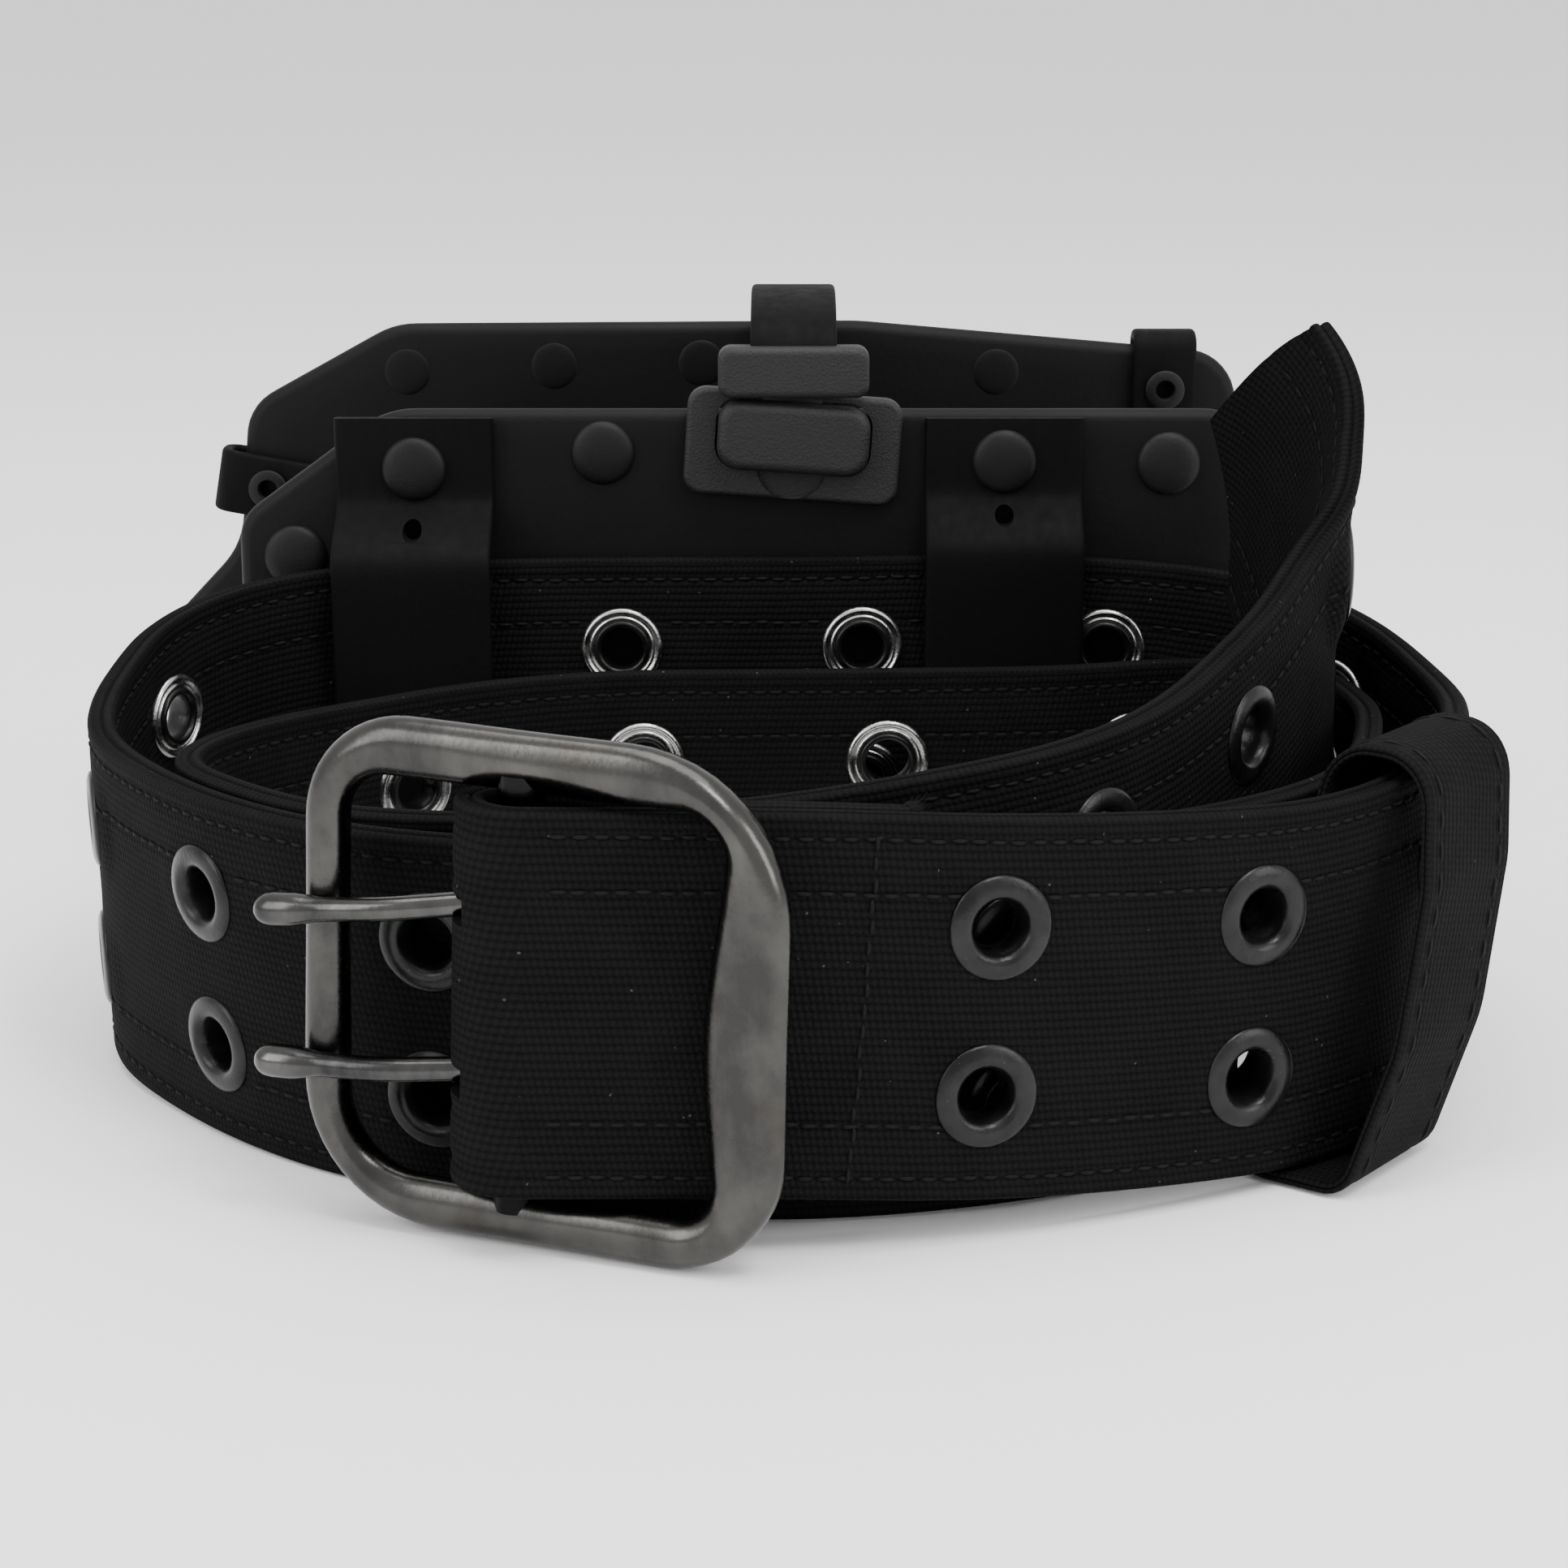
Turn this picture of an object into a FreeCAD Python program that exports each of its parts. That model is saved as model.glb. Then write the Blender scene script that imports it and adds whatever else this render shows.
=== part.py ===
"""Webbing tool belt with a two-prong buckle and a riveted back pouch, coiled and standing on edge."""
import FreeCAD, Part
import math
import os
from FreeCAD import Vector

# driving dimensions, mm
STRAP_WIDTH = 50.0
STRAP_THICK = 4.0
EYELET_PITCH = 38.1
EYELET_FIRST = 59.5
ROW_OFFSET = 11.0
HOLE_RADIUS = 3.3
BARREL_RADIUS = 3.9
FLANGE_RADIUS = 6.85
WASHER_RADIUS = 6.5
BAR_RADIUS = 3.0
BAR_FIT = 0.05
EYE_RADIUS = 4.3
WRAP_RADIUS = EYE_RADIUS + 0.15 + STRAP_THICK / 2
TURN_BACK_LENGTH = 49.0
BUCKLE_YAW = 26.5
BUCKLE_OUTSIDE = [(-30, -33.5, 19), (36.5, -33.5, 16), (36.5, 33.5, 22), (-30, 33.5, 14)]
BUCKLE_WINDOW = [(-24, -26.5, 10), (27.5, -26.5, 5.5), (27.5, 25.7, 5.5), (-24, 25.7, 6)]
BUCKLE_THICK = 6.0
PRONG_RADIUS = 1.5
PRONG_OFFSET = 4.75
PRONG_LENGTH = 31.0
SLOT_HALF = 2.2
KEEPER_PLACE = 124.5
KEEPER_WIDTH = 24.0
KEEPER_THICK = 1.5
KEEPER_HOLLOW = [(-7.9, -25.9, 1.8), (5.2, -25.9, 2.8), (8.8, -8, 18), (8.2, 12, 16), (5.0, 27.6, 7),
                 (-7.9, 27.6, 5)]
PANEL_FRONT = 124.7
PANEL_THICK = 4.0
PANEL_TOP = 88.0
OUTER_FRONT = 167.0
OUTER_TOP = 95.0
OUTER_MIDDLE = -7.5
LOOP_WIDTH = 25.0
LOOP_THICK = 1.8
CAP_RADIUS = 5.1
SHANK_RADIUS = 2.0
CLIP_MIDDLE = 1.5

# strap route from the buckle bar to the pointed end: x, y, height of the mid-line, lean of the top edge
OUTER_TURN = [(-32.7, -11.5, 34, -1), (0, -8.2, 32.8, -1.4), (24.9, -2.7, 30.6, -1.8),
              (48.4, 6.2, 28.6, -0.7), (69, 17.4, 27.2, 0), (80.8, 27.4, 27.6, 0), (87.4, 38.2, 28, 0),
              (92.5, 50, 28, 0),
              (96.4, 63.5, 28, 0), (97.8, 79, 28, 0), (94.6, 94.5, 29.5, 0), (87.4, 107, 33, 0),
              (77, 115.5, 36, 0), (62, 119.6, 38, 0), (40, 121, 39.2, 0), (0, 119.6, 39.2, 0),
              (-40, 119.4, 39, 0), (-69, 118.2, 38, 0), (-85.2, 111, 36, 0), (-94.6, 99.6, 33, 0),
              (-98.2, 84, 30, 0), (-98.4, 70.2, 28, 1), (-96, 58.8, 26.4, 2), (-88.6, 46.4, 25.5, 3),
              (-72.3, 26.8, 25.2, 4), (-54.3, 14.3, 25, 3.5)]
INNER_TURN = [(-25.7, 5.8, 25, 1), (0, 3.4, 25, 0), (24, 7.6, 25, 0), (46.3, 16.8, 25, 0),
              (64.2, 28.3, 25, 0), (74.9, 39.6, 25, 0), (81, 52.4, 25, 0), (84.5, 66.4, 25, 0),
              (86.4, 79.8, 25, 0), (85.6, 90, 25, 0), (83.4, 101, 25, 0), (76.6, 107.8, 25, 0),
              (62.8, 109.8, 25, 0), (43.4, 104.8, 25, 0), (20, 103, 25, 0), (0, 102.2, 25, 0),
              (-28.6, 99.6, 25.2, 0), (-47.2, 93.2, 25, 0), (-61.8, 82.3, 25, 0), (-74.8, 70.6, 25, 0),
              (-82.2, 59.2, 25, 0), (-82.6, 48.4, 25, 2), (-75.3, 39.2, 25, 4)]
TAIL_TURN = [(-58.4, 24.7, 25, 4), (-27.8, 12.4, 27, 1), (0.2, 9.4, 30, 0), (21, 13.4, 32.5, 0),
             (37.6, 22.4, 34, 0), (51.2, 36, 35.9, 0), (61.5, 49.5, 39.7, 0), (72, 64, 46.2, 0),
             (79.3, 78.2, 56, 0), (78.9, 88.6, 68, 0), (75.4, 96.8, 81.4, -2), (71.8, 102, 86, -6),
             (66.4, 107, 88.8, -10)]

# strap pieces by the eyelet column each one ends behind
STRAP_PIECES = [("strap_front_run", 1), ("strap_right_turn", 4), ("strap_back_run", 8),
                ("strap_left_turn", 10), ("strap_near_run", 13), ("strap_inner_front_run", 15),
                ("strap_inner_right_turn", 17), ("strap_inner_back_run", 20),
                ("strap_inner_left_turn", 22), ("strap_inner_near_run", 25), ("strap_tail", None)]


def mix(a, b, share):
    return [p + (q - p) * share for p, q in zip(a, b)]


def smooth_curve(stations, steps=12):
    """Centripetal curve through the stations."""
    knots = [0.0]
    for a, b in zip(stations, stations[1:]):
        knots.append(knots[-1] + math.sqrt(math.dist(a[:3], b[:3])))
    first = mix(stations[0], stations[1], -1.0)
    last = mix(stations[-1], stations[-2], -1.0)
    points = [first] + [list(p) for p in stations] + [last]
    knots = [2 * knots[0] - knots[1]] + knots + [2 * knots[-1] - knots[-2]]
    out = []
    for i in range(1, len(points) - 2):
        p, t = points[i - 1:i + 3], knots[i - 1:i + 3]
        for k in range(steps):
            u = t[1] + (t[2] - t[1]) * k / steps
            a = [mix(p[j], p[j + 1], (u - t[j]) / (t[j + 1] - t[j])) for j in range(3)]
            b = [mix(a[j], a[j + 1], (u - t[j]) / (t[j + 2] - t[j])) for j in range(2)]
            out.append(mix(b[0], b[1], (u - t[1]) / (t[2] - t[1])))
    out.append(points[-2])
    return out


def even_steps(points, step=1.0):
    """The same curve cut into equal steps, with its small kinks averaged away."""
    lengths = [0.0]
    for a, b in zip(points, points[1:]):
        lengths.append(lengths[-1] + math.dist(a[:3], b[:3]))
    count = int(round(lengths[-1] / step))
    out = []
    j = 0
    for i in range(count + 1):
        s = lengths[-1] * i / count
        while j < len(points) - 2 and lengths[j + 1] < s:
            j += 1
        out.append(mix(points[j], points[j + 1], (s - lengths[j]) / (lengths[j + 1] - lengths[j])))
    for _ in range(30):
        middle = [[(a + 2 * b + c) / 4 for a, b, c in zip(*three)] for three in zip(out, out[1:], out[2:])]
        out = [out[0]] + middle + [out[-1]]
    return out


ROUTE = even_steps(smooth_curve(OUTER_TURN + INNER_TURN + TAIL_TURN))
ROUTE_END = len(ROUTE) - 1


def route_frame(s):
    """Mid-line point, direction, outward normal and width direction of the strap at length s."""
    s = min(max(s, 0.0), float(ROUTE_END))
    i = min(int(s), ROUTE_END - 1)
    here = mix(ROUTE[i], ROUTE[i + 1], s - i)
    low, high = max(i - 1, 0), min(i + 2, ROUTE_END)
    along = Vector(*ROUTE[high][:3]).sub(Vector(*ROUTE[low][:3]))
    level = Vector(along.x, along.y, 0).normalize()
    pitch = math.atan2(along.z, math.hypot(along.x, along.y))
    tilt = 0.5 * pitch + 0.5 * max(-0.14, min(0.14, pitch))
    out = Vector(level.y, -level.x, 0)
    up = Vector(0, 0, math.cos(tilt)) - level * math.sin(tilt) + out * (here[3] / STRAP_WIDTH)
    along.normalize()
    up.normalize()
    normal = up.cross(along).normalize() * -1
    if normal.dot(out) < 0:
        normal = normal * -1
    return Vector(*here[:3]), along, normal, up


def solid_from(faces):
    shell = Part.makeShell(faces)
    shell.sewShape()
    solid = Part.makeSolid(shell)
    if solid.Volume < 0:
        solid.reverse()
    return solid


def band(frames, half_width, near, far):
    """A ribbon through the frames, between two distances along the normal."""
    rails = []
    marks = [0.0]
    for a, b in zip(frames, frames[1:]):
        marks.append(marks[-1] + a[0].distanceToPoint(b[0]))
    for side, offset in ((-1, near), (1, near), (1, far), (-1, far)):
        spline = Part.BSplineCurve()
        points = [p + n * offset + w * (side * half_width) for p, n, w in frames]
        spline.interpolate(Points=points, Parameters=marks)
        rails.append(spline.toShape())
    faces = [Part.makeRuledSurface(rails[i], rails[(i + 1) % 4]) for i in range(4)]
    for p, n, w in (frames[0], frames[-1]):
        corners = [p + n * near - w * half_width, p + n * near + w * half_width,
                   p + n * far + w * half_width, p + n * far - w * half_width]
        faces.append(Part.Face(Part.makePolygon(corners + corners[:1])))
    return solid_from(faces)


def strap_frames(start, end, step=5.0):
    count = max(3, int(round((end - start) / step)))
    frames = [route_frame(start + (end - start) * i / count) for i in range(count + 1)]
    return [(p, n, w) for p, _, n, w in frames]


def place(shape, origin, x_dir, y_dir, z_dir):
    """Move a shape made about the origin onto three given directions."""
    m = FreeCAD.Matrix(x_dir.x, y_dir.x, z_dir.x, origin.x, x_dir.y, y_dir.y, z_dir.y, origin.y,
                       x_dir.z, y_dir.z, z_dir.z, origin.z, 0, 0, 0, 1)
    out = shape.copy()
    out.Placement = FreeCAD.Placement(m).multiply(shape.Placement)
    return out


def turned(profile):
    """A ring turned about Z from radius and height pairs."""
    wire = Part.makePolygon([Vector(r, 0, z) for r, z in profile + profile[:1]])
    return Part.Face(wire).revolve(Vector(0, 0, 0), Vector(0, 0, 1), 360)


def eyelet_columns():
    columns = []
    s = EYELET_FIRST
    while s < ROUTE_END - 26:
        columns.append(s)
        s += EYELET_PITCH
    return columns


def eyelet_places():
    """One placement for each eyelet: centre, direction along the strap, width and outward normal."""
    places = []
    for s in eyelet_columns():
        p, along, normal, up = route_frame(s)
        places += [(p + up * side * ROW_OFFSET, along, up, normal) for side in (1, -1)]
    return places


def on_places(shape):
    out = []
    for p, _, up, normal in eyelet_places():
        side = up.cross(normal)
        out.append(place(shape, p, side, up, normal))
    return out


def eyelet():
    """Painted flange on the outer face with a barrel rolled over on the inner face."""
    half = STRAP_THICK / 2
    return turned([(HOLE_RADIUS, -half - 0.75), (HOLE_RADIUS + 0.5, -half - 0.95),
                   (BARREL_RADIUS + 0.6, -half - 0.6), (BARREL_RADIUS + 0.5, -half - 0.32),
                   (BARREL_RADIUS, -half - 0.3), (BARREL_RADIUS, half - 0.3), (FLANGE_RADIUS, half - 0.3),
                   (FLANGE_RADIUS, half + 0.2), (FLANGE_RADIUS - 1.2, half + 0.75),
                   (BARREL_RADIUS + 0.4, half + 0.8), (HOLE_RADIUS, half + 0.2)])


def washer():
    """Bright washer with one raised ring, on the inner face."""
    half = STRAP_THICK / 2
    inner = BARREL_RADIUS + 0.02
    return turned([(inner, -half + 0.3), (inner, -half - 0.28), (5.0, -half - 0.28), (5.4, -half - 0.6),
                   (5.9, -half - 0.6), (WASHER_RADIUS, -half - 0.1), (WASHER_RADIUS, -half + 0.3)])


def eyelet_cutter():
    """Room for one eyelet and its washer in the strap."""
    half = STRAP_THICK / 2
    hole = Part.makeCylinder(BARREL_RADIUS, STRAP_THICK + 4, Vector(0, 0, -half - 2))
    outer = Part.makeCylinder(FLANGE_RADIUS, 3.5, Vector(0, 0, half - 0.3))
    inner = Part.makeCylinder(WASHER_RADIUS, 3.5, Vector(0, 0, -half - 3.2))
    return hole.fuse(outer).fuse(inner)


def buckle_frame_axes():
    """Centre of the buckle bar and the buckle's own right, outward and up directions."""
    p, along, normal, up = route_frame(0)
    yaw = FreeCAD.Rotation(up, -BUCKLE_YAW)
    right = yaw.multVec(along)
    right = (right - up * right.dot(up)).normalize()
    out = up.cross(right).normalize() * -1
    if out.dot(normal) < 0:
        out = out * -1
    return p - normal * WRAP_RADIUS, right, out, up


def in_buckle(shape):
    centre, right, out, up = buckle_frame_axes()
    return place(shape, centre, right, out * -1, up)


def wrap_frames():
    """The strap's turn round the buckle bar."""
    p, along, normal, up = route_frame(0)
    centre = p - normal * WRAP_RADIUS
    frames = []
    for i in range(9):
        angle = math.pi * i / 8
        out = normal * math.cos(angle) - along * math.sin(angle)
        frames.append((centre + out * WRAP_RADIUS, out, up))
    return frames


def turn_back_frames():
    """The folded end, from the bar to where it lies flat behind the front run."""
    frames = [wrap_frames()[-1]]
    behind = STRAP_THICK + 0.1
    s = 4.0
    while s <= TURN_BACK_LENGTH - 1:
        q, _, n, w = route_frame(s)
        ease = max(0.0, 1 - s / 24) ** 2 * (1 + 2 * s / 24)
        gap = behind + (2 * WRAP_RADIUS - behind) * ease
        frames.append((q - n * gap, n * -1, w))
        s += 4.0
    return frames


def prong_slots():
    """Two slots in the turn's outer side, one for each prong, long enough for the prong to lift."""
    corners = [Vector(0, 0, 0), Vector(-11, 2.2, 0), Vector(-13, -6, 0), Vector(-7.2, -10.3, 0)]
    wedge = Part.Face(Part.makePolygon(corners + corners[:1])).extrude(Vector(0, 0, 2 * SLOT_HALF))
    return [in_buckle(wedge.translated(Vector(0, 0, side * ROW_OFFSET - SLOT_HALF))) for side in (1, -1)]


def strap_pieces():
    cutter = eyelet_cutter()
    cutters = on_places(cutter)
    columns = eyelet_columns()
    out = {}
    start = 0.0
    first = 0
    for name, last in STRAP_PIECES:
        end = float(ROUTE_END) if last is None else columns[last] + EYELET_PITCH / 2
        count = len(columns) if last is None else last + 1
        solid = band(strap_frames(start, end), STRAP_WIDTH / 2, -STRAP_THICK / 2, STRAP_THICK / 2)
        solid = solid.cut(Part.makeCompound(cutters[2 * first:2 * count]))
        if name == "strap_tail":
            solid = solid.cut(point_cutter())
        out[name] = solid
        start, first = end, count
    for name, frames in (("strap_wrap", wrap_frames()), ("strap_turn_back", turn_back_frames())):
        out[name] = band(frames, STRAP_WIDTH / 2, -STRAP_THICK / 2, STRAP_THICK / 2)
    out["strap_wrap"] = out["strap_wrap"].cut(Part.makeCompound(prong_slots()))
    return out


def point_cutter():
    """Two wedges that leave the strap's end pointed."""
    p, along, _, up = route_frame(ROUTE_END)
    half = STRAP_WIDTH / 2
    wedges = []
    for side in (1, -1):
        corners = [Vector(0, 0, 0), Vector(-15, 0, side * (half + 2)), Vector(6, 0, side * (half + 2))]
        wire = Part.makePolygon(corners + corners[:1])
        wedges.append(Part.Face(wire).extrude(Vector(0, 24, 0)).translated(Vector(0, -12, 0)))
    across = up.cross(along)
    return Part.makeCompound([place(wedge, p, along, across, up) for wedge in wedges])


def rounded_outline(left, right, bottom, top, radius):
    """Rectangle with round corners in the XZ plane."""
    r = radius
    k = r * math.sqrt(0.5)
    corners = [(right - r, top - r, 1, 1), (left + r, top - r, -1, 1),
               (left + r, bottom + r, -1, -1), (right - r, bottom + r, 1, -1)]
    arcs = []
    for cx, cz, sx, sz in corners:
        ends = [Vector(cx + sx * r, 0, cz), Vector(cx, 0, cz + sz * r)]
        if sx * sz < 0:
            ends.reverse()
        arcs.append(Part.Arc(ends[0], Vector(cx + sx * k, 0, cz + sz * k), ends[1]).toShape())
    edges = []
    for arc, following in zip(arcs, arcs[1:] + arcs[:1]):
        edges.append(arc)
        a, b = arc.Vertexes[-1].Point, following.Vertexes[0].Point
        if a.distanceToPoint(b) > 1e-6:
            edges.append(Part.makeLine(a, b))
    return Part.Wire(Part.__sortEdges__(edges))


def slab(wire, y, depth):
    return Part.Face(wire).extrude(Vector(0, depth, 0)).translated(Vector(0, y, 0))


def buckle_frame():
    """Forged frame, rounder on the right, with the bar through its long sides."""
    half = BUCKLE_THICK / 2
    outer = slab(corner_wire(BUCKLE_OUTSIDE), -half, BUCKLE_THICK)
    window = slab(corner_wire(BUCKLE_WINDOW), -half - 1, BUCKLE_THICK + 2)
    ring = outer.cut(window)
    rims = [e for e in ring.Edges if abs(abs(e.CenterOfMass.y) - half) < 0.01]
    ring = ring.makeFillet(2.3, rims)
    return in_buckle(ring.cut(bar_rod()))


def bar_rod():
    return Part.makeCylinder(BAR_RADIUS, 57.0, Vector(0, 0, -29.0))


def bent_rod(start, corner, end, radius, bend):
    """Round rod along two straight lines joined by an arc."""
    back = (start - corner).normalize()
    ahead = (end - corner).normalize()
    half = back.getAngle(ahead) / 2
    reach = bend / math.tan(half)
    a = corner + back * reach
    b = corner + ahead * reach
    middle = corner + (back + ahead).normalize() * (bend / math.sin(half) - bend)
    path = Part.Wire([Part.makeLine(start, a), Part.Arc(a, middle, b).toShape(), Part.makeLine(b, end)])
    ring = Part.Wire(Part.makeCircle(radius, start, corner - start))
    return path.makePipeShell([ring], True, True)


def prong_tip(start):
    """Last stretch of a prong, swelling to a round end: a side view turned about its own axis."""
    swell = Vector(-7, 2.0, 0)
    nose = Vector(-9, 0, 0)
    shoulder = Vector(-7 - 2 * math.sin(math.pi / 4), 2 * math.cos(math.pi / 4), 0)
    side = Part.makePolygon([nose, Vector(0, 0, 0), Vector(0, PRONG_RADIUS, 0), swell])
    outline = Part.Wire(side.Edges + [Part.Arc(swell, shoulder, nose).toShape()])
    return Part.Face(outline).revolve(Vector(0, 0, 0), Vector(1, 0, 0), 360).translated(start)


def prong(side):
    """Round prong with a thin eye on the bar; it runs out of the fold and over the left side of the frame."""
    end = Vector(5 - PRONG_LENGTH, -PRONG_OFFSET, 0)
    body = Part.makeCylinder(EYE_RADIUS, 3.4, Vector(0, 0, -1.7))
    body = body.fuse(bent_rod(Vector(-1, 0.2, 0), Vector(-17, -PRONG_OFFSET, 0), end, PRONG_RADIUS, 12))
    body = body.fuse(prong_tip(end))
    body = body.cut(Part.makeCylinder(BAR_RADIUS + BAR_FIT, 6, Vector(0, 0, -3)))
    return in_buckle(body.translated(Vector(0, 0, side * ROW_OFFSET)))


def keeper_axes():
    p, along, _, _ = route_frame(KEEPER_PLACE)
    level = Vector(along.x, along.y, 0).normalize()
    out = Vector(level.y, -level.x, 0)
    return p, level, out


def keeper_loop():
    """Closed webbing loop bulging over the front run, its top pushed along the strap."""
    hollow = corner_wire(KEEPER_HOLLOW)
    ring = slab(hollow.makeOffset2D(KEEPER_THICK), -KEEPER_WIDTH / 2, KEEPER_WIDTH)
    ring = ring.cut(slab(hollow, -KEEPER_WIDTH, 2 * KEEPER_WIDTH))
    lean = math.tan(math.radians(19))
    ring = ring.transformGeometry(FreeCAD.Matrix(1, 0, 0, 0, 0, 1, lean, 0, 0, 0, 1, 0, 0, 0, 0, 1))
    p, along, out = keeper_axes()
    return place(ring, p, out, along, Vector(0, 0, 1))


def corner_wire(corners):
    """Closed outline with straight sides and a round at every corner: x, z and radius of each."""
    edges = []
    count = len(corners)
    ends = []
    for i in range(count):
        x, z, r = corners[i]
        here = Vector(x, 0, z)
        back = (Vector(corners[i - 1][0], 0, corners[i - 1][1]) - here).normalize()
        ahead = (Vector(corners[(i + 1) % count][0], 0, corners[(i + 1) % count][1]) - here).normalize()
        half = back.getAngle(ahead) / 2
        reach = r / math.tan(half)
        centre = here + (back + ahead).normalize() * (r / math.sin(half))
        a, b = here + back * reach, here + ahead * reach
        middle = centre + (here - centre).normalize() * r
        edges.append(Part.Arc(a, middle, b).toShape())
        ends.append((a, b))
    for i in range(count):
        edges.append(Part.makeLine(ends[i - 1][1], ends[i][0]))
    return Part.Wire(Part.__sortEdges__(edges))


def rounded_polygon(corners, y, depth):
    return slab(corner_wire(corners), y, depth)


def soften(solid, radius, y_values):
    rims = [e for e in solid.Edges if any(abs(e.CenterOfMass.y - y) < 0.01 for y in y_values)
            and e.BoundBox.YLength < 0.01]
    return solid.makeFillet(radius, rims)


def drilled(solid, spots, radius):
    holes = [Part.makeCylinder(radius, 80, Vector(x, PANEL_FRONT - 20, z), Vector(0, 1, 0)) for x, z in spots]
    return solid.cut(Part.makeCompound(holes))


CAPS_ON_PANEL = [(-78, 63.5), (-28.7, 80.2), (61, 78.5)]
LOOP_MIDDLES = [-58.5, 34.8]
LOOP_FRONTS = [113.3, 116.6]
CAP_HEIGHTS = [78.0, 79.2]
LOOP_HOLES = [69.0, 71.0]
RIVETS_ON_OUTER = [(-64, 87), (-39, 88), (-14, 88.5), (36, 87)]
BRACES = [(64.5, 84.3, 0.0, 6.2), (-88.0, 67.3, 80.0, 5.6)]


def inner_panel():
    top = PANEL_TOP - 1
    shape = rounded_polygon([(-87, 0, 8), (-87, 69.5, 7), (-63, top, 14), (73, top, 6), (73, 0, 8)],
                            PANEL_FRONT, PANEL_THICK)
    shape = soften(shape, 1.8, (PANEL_FRONT, PANEL_FRONT + PANEL_THICK))
    spots = CAPS_ON_PANEL + list(zip(LOOP_MIDDLES, CAP_HEIGHTS))
    return drilled(shape, spots, SHANK_RADIUS).cut(button_well())


def outer_panel():
    m = OUTER_MIDDLE
    shape = rounded_polygon([(m - 92, 6, 10), (m - 104, 38, 9), (m - 86, 57, 14), (m - 84, 81, 9),
                             (m - 58.5, OUTER_TOP, 14), (m + 20, OUTER_TOP + 0.5, 40),
                             (m + 84, OUTER_TOP - 5, 9), (m + 86, 57, 14), (m + 104, 38, 9),
                             (m + 92, 6, 10)], OUTER_FRONT, PANEL_THICK)
    shape = soften(shape, 1.8, (OUTER_FRONT, OUTER_FRONT + PANEL_THICK))
    holes = [(x, z, SHANK_RADIUS) for x, z in RIVETS_ON_OUTER + [closure_root()]]
    holes += [(x, z, 2.4) for x, z, _, _ in BRACES]
    drills = [Part.makeCylinder(radius, 20, Vector(x, OUTER_FRONT - 8, z), Vector(0, 1, 0))
              for x, z, radius in holes]
    return shape.cut(Part.makeCompound(drills))


def pouch_floor():
    """Strip that joins the two panels at the bottom of the pouch."""
    back = PANEL_FRONT + PANEL_THICK
    base = Part.makeBox(146, OUTER_FRONT - back, 3, Vector(-80, back, 9))
    lips = [Part.makeBox(146, 2, 14, Vector(-80, y, 9)) for y in (back, OUTER_FRONT - 2)]
    return base.fuse(lips[0]).fuse(lips[1])


def ribbon(path, middle, width, thick):
    """A flat strip that follows a path of y, z points at constant x."""
    frames = []
    for i, (y, z) in enumerate(path):
        a, b = path[max(i - 1, 0)], path[min(i + 1, len(path) - 1)]
        along = Vector(0, b[0] - a[0], b[1] - a[1]).normalize()
        frames.append((Vector(middle, y, z), Vector(0, -along.z, along.y), Vector(1, 0, 0)))
    return band(frames, width / 2, -thick / 2, thick / 2)


def eased(a, b, count):
    """Points from a to b that start and end upright."""
    out = []
    for i in range(count + 1):
        t = i / count
        out.append((a[0] + (b[0] - a[0]) * (1 - math.cos(math.pi * t)) / 2, a[1] + (b[1] - a[1]) * t))
    return out


def keeper_strap_path(clear, cap):
    on_panel = PANEL_FRONT - LOOP_THICK / 2 - 0.42
    path = [(on_panel, 86.0), (on_panel, 83.0), (on_panel, 80.0)]
    path += eased((on_panel, cap - 4.8), (clear, cap - 14.0), 8)
    path += [(clear, 55.0), (clear, 40.0), (clear, 25.0), (clear, 16.0)]
    for i in range(1, 6):
        angle = math.pi / 2 * i / 5
        path.append((clear + 4 - 4 * math.cos(angle), 14.5 - 4 * math.sin(angle)))
    return path + [((clear + 4 + PANEL_FRONT) / 2, 10.5), (PANEL_FRONT, 10.5)]


def keeper_strap(middle, clear, cap, hole):
    strip = ribbon(keeper_strap_path(clear, cap), middle, LOOP_WIDTH, LOOP_THICK)
    holes = [Part.makeCylinder(r, 20, Vector(middle, 108, z), Vector(0, 1, 0))
             for r, z in ((SHANK_RADIUS, cap), (1.5, hole))]
    return strip.cut(Part.makeCompound(holes))


def dome(radius, rise):
    """Low domed head, flat side on y = 0, rising toward -y."""
    ball = (radius * radius + rise * rise) / (2 * rise)
    sphere = Part.makeSphere(ball, Vector(0, ball - rise, 0))
    return sphere.common(Part.makeBox(4 * radius, rise, 4 * radius, Vector(-2 * radius, -rise, -2 * radius)))


def cap_rivet(x, z, seat, back, radius=CAP_RADIUS, rise=1.5):
    """Domed cap, shank and a flat tail washer behind."""
    head = dome(radius, rise).translated(Vector(x, seat, z))
    shank = Part.makeCylinder(SHANK_RADIUS, back - seat, Vector(x, seat, z), Vector(0, 1, 0))
    tail = Part.makeCylinder(4.0, 0.8, Vector(x, back, z), Vector(0, 1, 0))
    return head.fuse(shank).fuse(tail)


def panel_caps():
    back = PANEL_FRONT + PANEL_THICK
    caps = [cap_rivet(x, z, PANEL_FRONT, back) for x, z in CAPS_ON_PANEL]
    caps += [cap_rivet(x, z, PANEL_FRONT - LOOP_THICK - 0.5, back) for x, z in zip(LOOP_MIDDLES, CAP_HEIGHTS)]
    return Part.makeCompound(caps)


def outer_rivets():
    back = OUTER_FRONT + PANEL_THICK
    return Part.makeCompound([cap_rivet(x, z, OUTER_FRONT, back, 3.9, 0.7) for x, z in RIVETS_ON_OUTER])


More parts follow.
